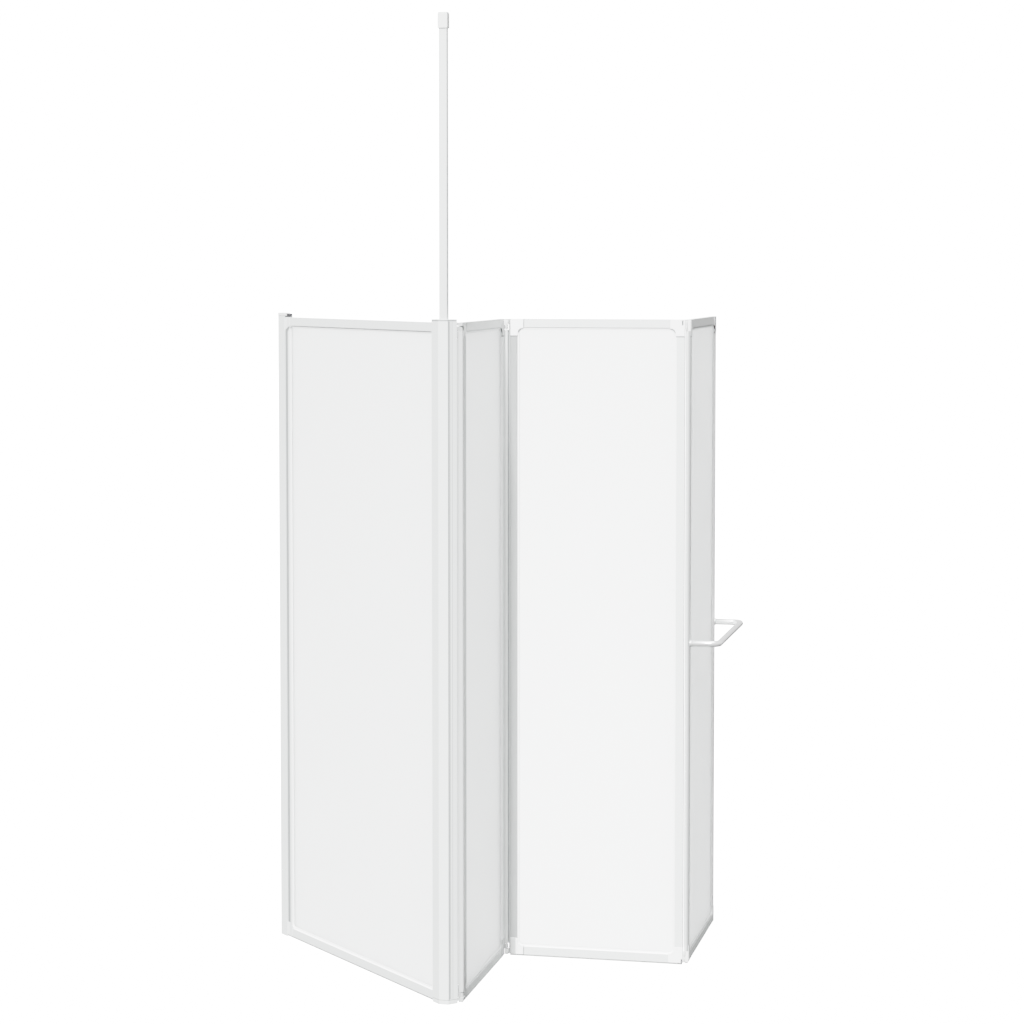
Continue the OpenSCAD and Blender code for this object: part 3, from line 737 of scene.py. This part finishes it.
@dataclass
class EndSeal:
    """The end leaf's upright seal: a foot with a hollow bulb.

    Attributes:
        out: How far it stands out of the leaf.
        width: Width of its foot.
        foot: Thickness of its foot.
        bulb: Half the bulb's width.
        wall: Wall of the bulb.
    """

    out: float = 5.0
    width: float = 7.0
    foot: float = 1.2
    bulb: float = 2.6
    wall: float = 0.7

    def build(self) -> None:
        """Makes the seal in place of its CAD node."""
        end = END_LEAF.length
        root = end + self.foot
        half = self.width / 2
        rise = self.out - self.foot
        curve = arc((0.0, 0.0), 1.0, -90.0, 90.0, 16)
        outer = [(end, half), (end, -half), (root, -half)]
        outer += [(root + rise * x, self.bulb * y) for x, y in curve]
        outer += [(root, half)]
        inner = [(root + (rise - self.wall) * x, (self.bulb - self.wall) * y) for x, y in curve]
        piece = Workpiece(END_LEAF)
        piece.holed_prism(outer, inner, SEAL_H, TOP)
        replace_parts(piece.finish("end_seal_bulb", Slot.SEAL, SOFT_VINYL), "end_seal")


@dataclass
class GlazingBeads:
    """The beads that hold the sheets: a ring on each face, and a cover on the frame's bevel, grey on the
    outer leaves' rails as painted shade.

    Attributes:
        show: How far a ring reaches over the sheet.
        cover: How far a cover stands out of the bevel.
        side_radius: Radius of the corners of the side panel's opening.
        stile_ends: How far a stile's cover ends from the leaf's lower and upper edge.
        rail_ends: How far a rail's cover ends from the leaf's near and far end.
        side_ends: The same for the side panel, from its opening.
    """

    show: float = 2.9
    cover: float = 0.06
    side_radius: float = 9.0
    stile_ends: Span = (37.0, 38.5)
    rail_ends: Span = (34.3, 32.5)
    side_ends: Span = (1.0, 0.5)

    def build(self) -> None:
        """Makes the beads in place of the CAD gaskets."""
        for count, place in enumerate(LEAVES, 1):
            box = (FRAME_W, SEAL_H + FRAME_W, place.length - FRAME_W, TOP - FRAME_W)
            piece = self.around(place, box, CORNER_R)
            low, high = SEAL_H + self.stile_ends[0], TOP - self.stile_ends[1]
            self.on_bevels(piece, "Z", (box[0], box[2]), low, high)
            # Painted shade: the outer leaves' rail covers are made as a grey piece of their own.
            rails = piece if place is MIDDLE_LEAF else Workpiece(place)
            low, high = self.rail_ends[0], place.length - self.rail_ends[1]
            self.on_bevels(rails, "X", (box[1], box[3]), low, high)
            if rails is not piece:
                rails.finish(f"leaf{count}_rail_shade_lips", Slot.SEAL, GREY_TRIM_AND_PAINTED_SHADE)
            self.hold(piece, f"leaf{count}_gasket")
        box = (SIDE_OPENING[0], SEAL_H + FRAME_W, SIDE_OPENING[1], TOP - FRAME_W)
        piece = self.around(SIDE_PANEL, box, self.side_radius)
        low, high = box[0] + self.side_ends[0], box[2] - self.side_ends[1]
        self.on_bevels(piece, "X", (box[1], box[3]), low, high)
        self.hold(piece, "side_gasket")

    def around(self, place: Place, box: Sequence[float], radius: float) -> Workpiece:
        """Starts a piece with a ring on each face of a sheet.

        Args:
            place: The sheet's plate.
            box: The opening's low X, low Z, high X and high Z.
            radius: Radius of its corners.

        Returns:
            The piece.
        """
        back, crest, nose = 0.02, self.show - 0.3, self.show
        section = [(back, SHEET_HALF), (back, BEAD_H), (crest, BEAD_H - 0.35)]
        section += [(nose, BEAD_H - 0.7), (nose, SHEET_HALF)]
        piece = Workpiece(place)
        for side in BOTH_SIDES:
            piece.ring(box, radius, [(d, side * y) for d, y in section])
        return piece

    def on_bevels(self, piece: Workpiece, axis: str, lips: Span, low: float, high: float) -> None:
        """Adds the thin covers on two facing bevels, on both faces.

        Args:
            piece: The piece that they belong to.
            axis: Z on stiles, X on rails.
            lips: Where the two bevels meet the sheet.
            low: Where the covers start.
            high: Where they end.
        """
        top = HALF_T + self.cover
        strip = [(BEVEL_W + 0.1, top), (BEVEL_W - 0.2, top)]
        strip += [(-0.1, BEAD_H), (0.0, LIP_H), (BEVEL_W, HALF_T)]
        for lip, way in zip(lips, BOTH_SIDES):
            for side in BOTH_SIDES:
                points = [(lip + way * d, side * y) for d, y in strip]
                piece.prism([(y, z) for z, y in points] if axis == "X" else points, axis, low, high)

    def hold(self, piece: Workpiece, node: str) -> None:
        """Finishes a sheet's beads in place of its CAD gasket."""
        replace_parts(piece.finish(f"{node}_beads", Slot.SEAL, WHITE_GASKET), node)


# Corners and joint lines


@dataclass
class CornerSeams:
    """The thin dark joints between the corner pieces and the frame sections, wider beside the near corner
    pieces and under the upper ones as painted shadow.

    Attributes:
        near_line: Width of the joint on a rail, next to a near corner piece.
        far_line: Its width next to a far corner piece.
        upper_line: Width of the joint on a stile, under an upper corner piece.
        lower_line: Its width over a lower corner piece.
        proud: How far a joint's filling stands out of the faces.
        bed: How deep it is set in.
    """

    # Painted shadow: the near and upper joints are drawn wider than the far and lower ones.
    near_line: float = 2.2
    far_line: float = 0.4
    upper_line: float = 2.4
    lower_line: float = 0.8
    proud: float = 0.05
    bed: float = 0.3

    def build(self) -> None:
        """Makes the joints of each leaf as one piece."""
        low, high = SEAL_H + CORNER_Z, TOP - CORNER_Z
        for count, place in enumerate(LEAVES, 1):
            piece = Workpiece(place)
            far = place.length - CORNER_X
            for edge in (LOWER_EDGE, UPPER_EDGE):
                self.on_rail(piece, (CORNER_X, CORNER_X + self.near_line), *edge)
                self.on_rail(piece, (far - self.far_line, far), *edge)
            for end in ((0.0, 1.0), (place.length, -1.0)):
                self.on_stile(piece, (low, low + self.lower_line), *end)
                self.on_stile(piece, (high - self.upper_line, high), *end)
            piece.finish(f"leaf{count}_corner_seams", Slot.SEAL, DARK_WIPER_AND_PAINTED_SHADE)

    def on_rail(self, piece: Workpiece, span: Span, edge: float, way: float) -> None:
        """Adds the joint round a rail's faces and its outer edge.

        Args:
            piece: The leaf's piece.
            span: Where the joint starts and ends along the rail.
            edge: The Z of the leaf's edge.
            way: The way from there into the leaf.
        """
        out, deep = HALF_T + self.proud, HALF_T - self.bed
        inner = edge + way * (FRAME_W - BEVEL_W)
        rim, bed = edge - way * self.proud, edge + way * self.bed
        outline = [(-out, inner), (-out, rim), (out, rim), (out, inner)]
        outline += [(deep, inner), (deep, bed), (-deep, bed), (-deep, inner)]
        piece.prism(outline, "X", *span)

    def on_stile(self, piece: Workpiece, span: Span, end: float, way: float) -> None:
        """Adds the joint across both faces of a stile, bevels included.

        Args:
            piece: The leaf's piece.
            span: Where the joint starts and ends in height.
            end: The X of the leaf's end.
            way: The way from there into the leaf.
        """
        lip, flat = end + way * FRAME_W, end + way * (FRAME_W - BEVEL_W)
        for side in BOTH_SIDES:
            out, bevel, bed = side * (HALF_T + self.proud), side * (LIP_H + self.proud), side * self.bed
            outline = [(end, out), (flat, out), (lip, bevel)]
            outline += [(lip, bevel - bed), (flat, out - bed), (end, out - bed)]
            piece.prism(outline, "Z", *span)


@dataclass
class CornerCovers:
    """The cover plates on the corner pieces' outer faces, whiter on the middle leaf as painted sheen and
    darker on the outer leaves as painted shade, and dark pads in the upper corners as painted shade.

    Attributes:
        inset: Distance of a cover from the leaf's edges.
        near_inset: Its distance from a leaf's near end.
        thick: Thickness of a cover.
        pad: Thickness of a pad.
        pad_span: The part of the corner's curve that a pad fills, in degrees.
    """

    inset: float = 0.4
    near_inset: float = 3.9
    thick: float = 0.8
    pad: float = 1.4
    pad_span: Span = (262.0, 188.0)

    def build(self) -> None:
        """Makes the covers and the pads of each leaf."""
        # Painted light per leaf: the middle leaf's covers are whiter as painted sheen, the outer leaves'
        # covers darker and all the pads dark as painted shade.
        looks = (
            (FIRST_LEAF, PAINTED_SHADE_MOULDING, BLACK_MOULDING_AND_PAINTED_SHADE),
            (MIDDLE_LEAF, PAINTED_SHEEN_COVER, DARK_WIPER_AND_PAINTED_SHADE),
            (END_LEAF, WHITE_COAT, BLACK_MOULDING_AND_PAINTED_SHADE),
        )
        for count, (place, cover_look, pad_look) in enumerate(looks, 1):
            covers, pads = Workpiece(place), Workpiece(place)
            for start, along in ((0.0, 1.0), (place.length, -1.0)):
                bend = from_corner(self.bend(), start, along, *UPPER_EDGE)
                pads.prism(bend, "Y", -HALF_T - 0.1, -BEAD_H - 0.05)
                if place is FIRST_LEAF and start == 0.0:
                    continue
                points = self.outline(self.near_inset if start == 0.0 else self.inset)
                for edge in (UPPER_EDGE, LOWER_EDGE):
                    outline = from_corner(points, start, along, *edge)
                    covers.prism(outline, "Y", -HALF_T - self.thick, -HALF_T)
            covers.finish(f"leaf{count}_corner_covers", Slot.PLASTIC, cover_look, SMALL_EDGE)
            pads.finish(f"leaf{count}_corner_shade_pads", Slot.SEAL, pad_look)

    def outline(self, side: float) -> Outline:
        """Returns a cover's points as distances from the corner.

        Args:
            side: Its distance from the leaf's end.

        Returns:
            The points.
        """
        reach = FRAME_W + CORNER_R
        points = [(side, self.inset), (CORNER_X, self.inset), (CORNER_X, FRAME_W)]
        points += arc((reach, reach), CORNER_R, 270.0, 180.0, 8)
        return points + [(FRAME_W, CORNER_Z), (side, CORNER_Z)]

    def bend(self) -> Outline:
        """Returns a pad's points as distances from the corner."""
        reach = FRAME_W + CORNER_R
        start, end = self.pad_span
        outer = arc((reach, reach), CORNER_R, start, end, 8)
        return outer + arc((reach, reach), CORNER_R - self.pad, end, start, 8)


# Trims


@dataclass
class HingeTrims:
    """The thin profiles along the hinge lines, and the caps and slots at the hinges' ends, most of them
    dark or grey as painted shade.

    Attributes:
        between: Where the profiles between the corner pieces start and end.
        over_arms: The same for the pivot's profile.
        over_knuckles: The same for the end leaf's strips.
        beside_brackets: The lengths of the first leaf's end strip.
        rib_inset: Distance of the valley rib from the leaf's edges.
        foot_pad: Where the pad on the lower corner piece starts and ends.
        caps: Where the two hinge caps start and end.
        pin: Where the ridge's hinge pin stands.
        pin_r: Radius of the caps round it.
        slots: Each hinge slot's start, end and place along the leaf.
        slot_w: Width of a slot.
    """

    between: Span = (41.0, 1361.5)
    over_arms: Span = (27.0, 1373.0)
    over_knuckles: Span = (28.5, 1375.5)
    beside_brackets: tuple[Span, ...] = ((0.6, 10.8), (22.2, 1381.8), (1393.2, 1399.6))
    rib_inset: float = 0.6
    foot_pad: Span = (1.0, 35.5)
    caps: tuple[Span, ...] = ((4.3, 5.95), (1398.05, 1399.7))
    pin: Span = (-4.0, -9.2)
    pin_r: float = 4.0
    slots: tuple[Triple, ...] = ((1387.5, 1398.0, 379.8), (4.8, 13.5, 381.9))
    slot_w: float = 3.2

    def build(self) -> None:
        """Makes the profiles of the three leaves."""
        self.pivot_side()
        self.valley_side()
        self.ridge_ends()
        self.ridge_side()

    def pivot_side(self) -> None:
        """Makes the first leaf's grey end strip, its dark line and its grey face profile, which paint the
        shade on its end and stile, and a white bead.
        """
        strip = [(-0.35, -4.1), (-0.35, 4.6), (-0.2, 4.9), (0.0, 4.9), (0.0, -4.1)]
        line = [(-0.3, -4.9), (-0.3, -4.15), (0.0, -4.15), (0.0, -4.9)]
        for name, look, section in (("strip", GREY_TRIM_AND_PAINTED_SHADE, strip), ("line", DARK_WIPER_AND_PAINTED_SHADE, line)):
            lengths = [(section, *span) for span in self.beside_brackets]
            upright(FIRST_LEAF, f"leaf1_end_shade_{name}", look, lengths)
        profile = [(0.4, -5.0), (0.4, -5.35), (28.5, -5.35), (29.0, -4.9), (29.0, -1.55)]
        profile += [(23.1, -1.55), (23.1, -5.1), (17.3, -5.1), (17.3, -5.0)]
        bead = [(29.05, -1.52), (29.05, -4.4), (29.6, -4.4), (32.4, -2.2), (32.6, -1.52)]
        upright(FIRST_LEAF, "leaf1_pivot_shade_profile", GREY_TRIM_AND_PAINTED_SHADE, [(profile, *self.over_arms)])
        upright(FIRST_LEAF, "leaf1_pivot_bead", WHITE_GASKET, [(bead, *self.over_arms)])

    def valley_side(self) -> None:
        """Makes the middle leaf's rib, its foot pad and its face profile, dark as painted shadow along
        the valley.
        """
        rib = [(0.4, -5.0), (0.4, -5.8), (0.6, -5.95), (3.6, -5.95), (3.85, -5.7), (3.85, -5.0)]
        full = (SEAL_H + self.rib_inset, TOP - self.rib_inset)
        upright(MIDDLE_LEAF, "leaf2_valley_rib", PAINTED_SHADE_PROFILE, [(rib, *full)])
        pad = [(4.0, -5.8), (4.2, -5.9), (15.0, -5.9), (15.4, -5.8)]
        low, high = (SEAL_H + z for z in self.foot_pad)
        upright(MIDDLE_LEAF, "leaf2_foot_shade_pad", GREY_TRIM_AND_PAINTED_SHADE, [(pad, low, high)], Slot.PLASTIC)
        profile = [(3.9, -5.0), (3.9, -5.1), (4.6, -5.1), (4.9, -5.3)]
        profile += [(17.7, -5.3), (19.2, -3.9), (17.6, -5.0)]
        upright(MIDDLE_LEAF, "leaf2_valley_shadow_profile", PAINTED_SHADE_PROFILE, [(profile, *self.between)])

    def ridge_ends(self) -> None:
        """Makes the middle leaf's dark end line, its hinge caps and its black slots; the line and the
        slots are painted shade of the gap and the slots.
        """
        end = MIDDLE_LEAF.length
        line = [(end, -4.9), (end + 0.2, -4.8), (end + 0.2, 4.2), (end, 4.3)]
        upright(MIDDLE_LEAF, "leaf2_ridge_shadow_line", DARK_WIPER_AND_PAINTED_SHADE, [(line, *self.between)])
        disc = circle(self.pin, self.pin_r, 24)
        web = [(-4.8, -6.8), (0.0, -0.5), (0.0, -5.0), (-0.8, -9.6)]
        lengths = []
        for low, high in self.caps:
            lengths += [(disc, low, high), (web, low + 0.1, high - 0.1)]
        upright(MIDDLE_LEAF, "leaf2_hinge_caps", GREY_TRIM_AND_PAINTED_SHADE, lengths, Slot.PLASTIC)
        lengths = []
        for low, high, left in self.slots:
            right = left + self.slot_w
            lengths += [([(left, -5.8), (left, -5.95), (right, -5.95), (right, -5.8)], low, high)]
        seam = [(0.5, -5.0), (0.5, -5.4), (17.7, -5.4), (19.2, -4.0), (17.6, -5.0)]
        top = self.between[1]
        lengths += [(seam, top + 0.1, top + 1.0)]
        upright(MIDDLE_LEAF, "leaf2_hinge_slot_shadows", BLACK_MOULDING_AND_PAINTED_SHADE, lengths, Slot.PLASTIC)

    def ridge_side(self) -> None:
        """Makes the end leaf's grey and dark strips on its hinge end, painted shade of its rounded end.
        """
        for name, look, spans in (
            ("grey", GREY_TRIM_AND_PAINTED_SHADE, ((-2.1, 0.9),)),
            ("dark", DARK_WIPER_AND_PAINTED_SHADE, ((-4.9, -2.2), (3.7, 4.9))),
        ):
            strips = [[(-0.25, low), (-0.25, high), (0.0, high), (0.0, low)] for low, high in spans]
            lengths = [(strip, *self.over_knuckles) for strip in strips]
            upright(END_LEAF, f"leaf3_ridge_shade_{name}_strips", look, lengths)


@dataclass
class ChannelEdge:
    """The dark wiper strips in the side panel's groove, dark also as painted shade of the groove, and the
    corner blocks above and below them.

    Attributes:
        near: Where the groove starts, from the panel's wall end.
        far: Where it ends.
        floor: Distance of its floor from mid thickness.
        corner: Height of a corner block.
        radius: Radius of a block's inner corner.
        lap: Where the strip's lip on the stile ends.
        ribs: How many ribs a strip has.
        rib_from: Distance of the first rib from the groove's start.
        rib_slope: Width of a rib's slope.
        seam: Half the height of the slanted joint at its wall end.
    """

    near: float = 20.0
    far: float = 29.0
    floor: float = 3.8
    corner: float = 30.0
    radius: float = 9.0
    lap: float = 32.5
    ribs: int = 4
    rib_from: float = 1.5
    rib_slope: float = 0.4
    seam: float = 3.0

    def build(self) -> None:
        """Makes the strips, the slanted joints, the blocks and the fillets."""
        self.strips()
        self.seams()
        self.blocks()
        self.curves()

    def strips(self) -> None:
        """Makes the dark ribbed strip, painted shade of the groove, on each face of the groove."""
        first = self.near + self.rib_from
        pitch = (self.far - first) / self.ribs
        lengths = []
        for side in BOTH_SIDES:
            root, crest, face = side * (HALF_T - 0.3), side * (HALF_T + 0.05), side * HALF_T
            outline = [(first, side * self.floor), (first, root)]
            for i in range(self.ribs):
                start, end = first + i * pitch, first + i * pitch + pitch
                outline += [(start + self.rib_slope, crest), (end - self.rib_slope, crest), (end, root)]
            outline += [(self.far, side * self.floor)]
            lip = crest * 1.03
            lap = [(self.far, face), (self.far, lip), (self.lap, lip), (self.lap + 0.3, face)]
            lengths += [(part, SEAL_H + self.corner, TOP - self.corner) for part in (outline, lap)]
        upright(SIDE_PANEL, "side_wiper_shade_strips", DARK_WIPER_AND_PAINTED_SHADE, lengths)

    def seams(self) -> None:
        """Makes the slanted joints between the upper corner block and the top rail."""
        piece = Workpiece(SIDE_PANEL)
        start, end = self.near + self.seam, SIDE_OPENING[0]
        low, high = TOP - self.corner, TOP - FRAME_W + 1.5
        slant = [(start, low - self.seam), (start, low + self.seam), (end, high), (end, high - 4.0)]
        slant += [(self.lap, low - self.seam)]
        for side in BOTH_SIDES:
            piece.prism(slant, "Y", *sorted((side * HALF_T, side * (HALF_T + 0.3))))
        piece.finish("side_corner_seams", Slot.SEAL, DARK_WIPER_AND_PAINTED_SHADE)

    def blocks(self) -> None:
        """Makes the white blocks that fill the groove's ends."""
        piece = Workpiece(SIDE_PANEL)
        near, far, cut = self.near + 0.4, self.far - 0.05, 2.5
        for side in BOTH_SIDES:
            for edge, way in (UPPER_EDGE, LOWER_EDGE):
                foot = edge + way * self.corner
                outline = [(near, edge), (far, edge), (far, foot - way * cut)]
                outline += [(self.far - cut, foot), (near, foot)]
                piece.prism(outline, "Y", *sorted((side * self.floor, side * HALF_T)))
        piece.finish("side_corner_blocks", Slot.PLASTIC, WHITE_MOULDING, SMALL_EDGE)

    def curves(self) -> None:
        """Makes the white fillets in the four corners of the sheet's opening."""
        piece = Workpiece(SIDE_PANEL)
        bend = arc((self.radius, -self.radius), self.radius, 180.0, 90.0, 10)
        points = [(a, -b) for a, b in bend] + [(-0.3, -0.3)]
        for end in ((SIDE_OPENING[0], 1.0), (SIDE_OPENING[1], -1.0)):
            for edge in ((TOP - FRAME_W, -1.0), (SEAL_H + FRAME_W, 1.0)):
                outline = from_corner(points, *end, *edge)
                for side in BOTH_SIDES:
                    piece.prism(outline, "Y", *sorted((side * SHEET_HALF, side * (HALF_T - 0.1))))
        piece.finish("side_corner_fillets", Slot.PLASTIC, WHITE_MOULDING, SMALL_EDGE)


@dataclass
class PostJoints:
    """The dark joints under the post's cap and over its foot, the upper one wider as painted shadow, and
    the dark groove filling and lines on its face as painted shade.

    Attributes:
        cap_z: Height of the joint under the cap.
        foot_z: Height of the joint over the foot.
        cap_line: Height of the upper joint's filling.
        foot_line: Height of the lower joint's filling.
        proud: How far they stand out of the post.
        clear: How far the lines end from the joints.
        lips: Where the lips of the seal's end pieces start and end.
        lines: Each line's name, start, width and finish.
    """

    cap_z: float = 1404.0
    foot_z: float = 9.4
    cap_line: float = 2.4
    foot_line: float = 1.2
    proud: float = 0.06
    clear: float = 2.0
    lips: tuple[Span, ...] = ((21.7, 38.4), (1365.6, 1382.3))
    lines: tuple[tuple[str, float, float, Finish], ...] = (
        ("dark", 3.5, 1.6, PAINTED_SHADE_PROFILE),
        ("grey", 5.1, 1.4, GREY_TRIM_AND_PAINTED_SHADE),
        ("fine", 9.8, 1.8, GREY_TRIM_AND_PAINTED_SHADE),
    )

    def outline(self) -> Outline:
        """Returns the post's three outer faces as a thin band's points."""
        out, flange = -POST_FACE - self.proud, 22.3 + self.proud
        outer = [(out, 25.8), (out, -0.03), (-0.03, out), (flange, out), (flange, -2.0)]
        inner = [(21.9, -2.0), (21.9, -13.6), (0.1, -13.6), (-13.6, 0.1), (-13.6, 25.8)]
        return outer + inner

    def build(self) -> None:
        """Makes both joints as one piece, then the lines between them."""
        joints = ((self.cap_z, self.cap_line / 2), (self.foot_z, self.foot_line / 2))
        bands = [(self.outline(), z - half, z + half) for z, half in joints]
        upright(POST, "post_joint_shadow_bands", DARK_WIPER_AND_PAINTED_SHADE, bands)
        span = (self.foot_z + self.clear, self.cap_z - self.clear)
        # Painted shade: dark filling in the groove between the facet and the flange.
        filling = [(0.95, -12.25), (0.95, -13.75), (1.2, -13.9)]
        filling += [(3.1, -13.9), (3.3, -13.75), (3.3, -12.25)]
        upright(POST, "post_groove_shade_filling", DARK_WIPER_AND_PAINTED_SHADE, [(filling, *span)])
        lip = [(24.35, -11.5), (26.5, -11.5), (26.7, -11.3), (26.7, -10.95), (24.35, -10.95)]
        upright(POST, "post_seal_lips", SOFT_VINYL, [(lip, *ends) for ends in self.lips])
        # Painted shade: dark and grey lines beside the groove.
        for name, start, width, look in self.lines:
            end, face, crest = start + width, -POST_FACE, -POST_FACE - 0.1
            line = [(start, face), (start + 0.1, crest), (end - 0.1, crest), (end, face)]
            upright(POST, f"post_{name}_line", look, [(line, *span)])


# Screws


class Drive(Enum):
    """Shapes of the recess in a screw's head."""

    CROSS = "cross"
    HEX = "hex"


@dataclass
class Screw:
    """A screw with a rounded head and a driver's recess.

    Attributes:
        head_r: Radius of the head.
        head_h: Height of the head.
        shank_r: Radius of the shank.
        shank_l: Length of the shank.
        recess_r: Reach of the recess from the middle.
        recess_h: Depth of the recess.
        drive: Shape of the recess.
    """

    head_r: float
    head_h: float
    shank_r: float
    shank_l: float
    recess_r: float
    recess_h: float
    drive: Drive = Drive.CROSS

    def recess(self) -> Outline:
        """Returns the recess's outline."""
        r = self.recess_r
        if self.drive is Drive.HEX:
            return circle((0.0, 0.0), r, 6)
        w = r * 0.28
        points = [(r, -w), (r, w), (w, w), (w, r), (-w, r), (-w, w)]
        return points + [(-r, w), (-r, -w), (-w, -w), (-w, -r), (w, -r), (w, -w)]

    def add(self, piece: Workpiece, at: Matrix) -> None:
        """Adds the screw to a workpiece.

        Args:
            piece: The workpiece.
            at: The screw's place, with its head's top at zero and facing up.
        """
        work = bmesh.new()
        now = self.head_r * 0.82
        rim = edge_loop(work, [(x, y, 0.0) for x, y in circle((0.0, 0.0), now, 32)])
        pit = edge_loop(work, [(x, y, 0.0) for x, y in self.recess()])
        bmesh.ops.triangle_fill(work, use_beauty=True, use_dissolve=True, edges=rim + pit)
        steps = ((self.head_r * 0.95, 0.22), (self.head_r, 0.5), (self.head_r, 1.0), (self.shank_r, 1.0))
        for radius, share in steps:
            rim = self.grow(work, rim, radius / now, -share * self.head_h)
            now = radius
        rim = self.grow(work, rim, 1.0, -self.head_h - self.shank_l)
        bmesh.ops.contextual_create(work, geom=rim)
        pit = self.grow(work, pit, 0.8, -self.recess_h)
        bmesh.ops.contextual_create(work, geom=pit)
        bmesh.ops.recalc_face_normals(work, faces=work.faces)
        bmesh.ops.transform(work, matrix=at, verts=work.verts)
        held = bpy.data.meshes.new("screw")
        work.to_mesh(held)
        work.free()
        piece.mesh.from_mesh(held)
        bpy.data.meshes.remove(held)

    def grow(self, work: BMesh, edges: list[BMEdge], scale: float, z: float) -> list[BMEdge]:
        """Extrudes a ring of edges to a new size and height.

        Args:
            work: The mesh.
            edges: The ring's edges.
            scale: Change of the ring's radius.
            z: Its new height.

        Returns:
            The new ring's edges.
        """
        made = bmesh.ops.extrude_edge_only(work, edges=edges)
        verts = picked(made, BMVert)
        bmesh.ops.scale(work, vec=(scale, scale, 1.0), verts=verts)
        for vert in verts:
            vert.co.z = z
        return picked(made, BMEdge)


@dataclass
class Screws:
    """The screws that show: on the brackets, behind the towel rail and at the pole.

    Attributes:
        bracket_x: Where the bracket screws' heads end.
        bracket_y: Their place across the post's flange.
        bracket_z: Their heights.
        rail_x: Places of the towel rail's screws along the end leaf.
        rail_z: Their height.
        lock_z: Height of the pole's lock screw.
        lock_head: Height of its head.
        lock_tip: Distance of its tip from the pole's middle.
    """

    bracket_x: float = 22.3 + 2.0
    bracket_y: float = -8.4
    bracket_z: tuple[float, ...] = (25.5, 33.5, 1370.5, 1378.5)
    rail_x: Span = (8.0, 378.0)
    rail_z: float = 700.0
    lock_z: float = 1340.0
    lock_head: float = 2.5
    lock_tip: float = 8.1

    def build(self) -> None:
        """Makes each set in place of its CAD node."""
        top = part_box("bracket_screws")[1][0] / MM
        small = Screw(2.4, top - self.bracket_x, shank_r=1.2, shank_l=6.0, recess_r=1.3, recess_h=0.8)
        to_x = Matrix.Rotation(math.radians(90), 4, "Y")
        stands = [Matrix.Translation((top, self.bracket_y, z)) @ to_x for z in self.bracket_z]
        self.put(small, POST, stands, "bracket_cross_screws", "bracket_screws")
        long = Screw(4.2, 2.4, shank_r=2.5, shank_l=22.6, recess_r=2.3, recess_h=1.4)
        to_back = Matrix.Rotation(math.radians(-90), 4, "X")
        stands = [Matrix.Translation((x, HALF_T, self.rail_z)) @ to_back for x in self.rail_x]
        self.put(long, END_LEAF, stands, "towel_rail_cross_screws", "towel_rail_screws")
        face = POST_FACE / math.sqrt(2.0)
        reach = face - self.lock_tip
        lock = Screw(4.0, self.lock_head, 2.0, reach, recess_r=2.0, recess_h=1.6, drive=Drive.HEX)
        turn = Matrix.Rotation(math.radians(45), 4, "Z") @ to_x
        rise = Matrix.Translation((0.0, 0.0, face + self.lock_head))
        stands = [Matrix.Translation((0.0, 0.0, self.lock_z)) @ turn @ rise]
        self.put(lock, POST, stands, "pole_lock_socket_screw", "pole_lock_screw")

    def put(self, screw: Screw, place: Place, stands: list[Matrix], name: str, node: str) -> None:
        """Makes one set of equal screws in place of its CAD node.

        Args:
            screw: The screw.
            place: The plate whose directions they follow.
            stands: Where the screws stand.
            name: The piece's name.
            node: The CAD node's name.
        """
        piece = Workpiece(place)
        for at in stands:
            screw.add(piece, at)
        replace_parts(piece.finish(name, Slot.STEEL, PLAIN_STEEL), node)


def main() -> None:
    """Builds the scene piece by piece."""
    logging.basicConfig(level=logging.INFO)
    Camera().make()
    Studio().make()
    dresser = Dresser()
    for node in frame["nodes"]:
        dresser.dress(node)
    for part in (FinnedSeals(), EndSeal(), GlazingBeads(), CornerSeams(), CornerCovers(), HingeTrims()):
        part.build()
    for part in (ChannelEdge(), PostJoints(), Screws()):
        part.build()


if __name__ == "__main__":
    main()
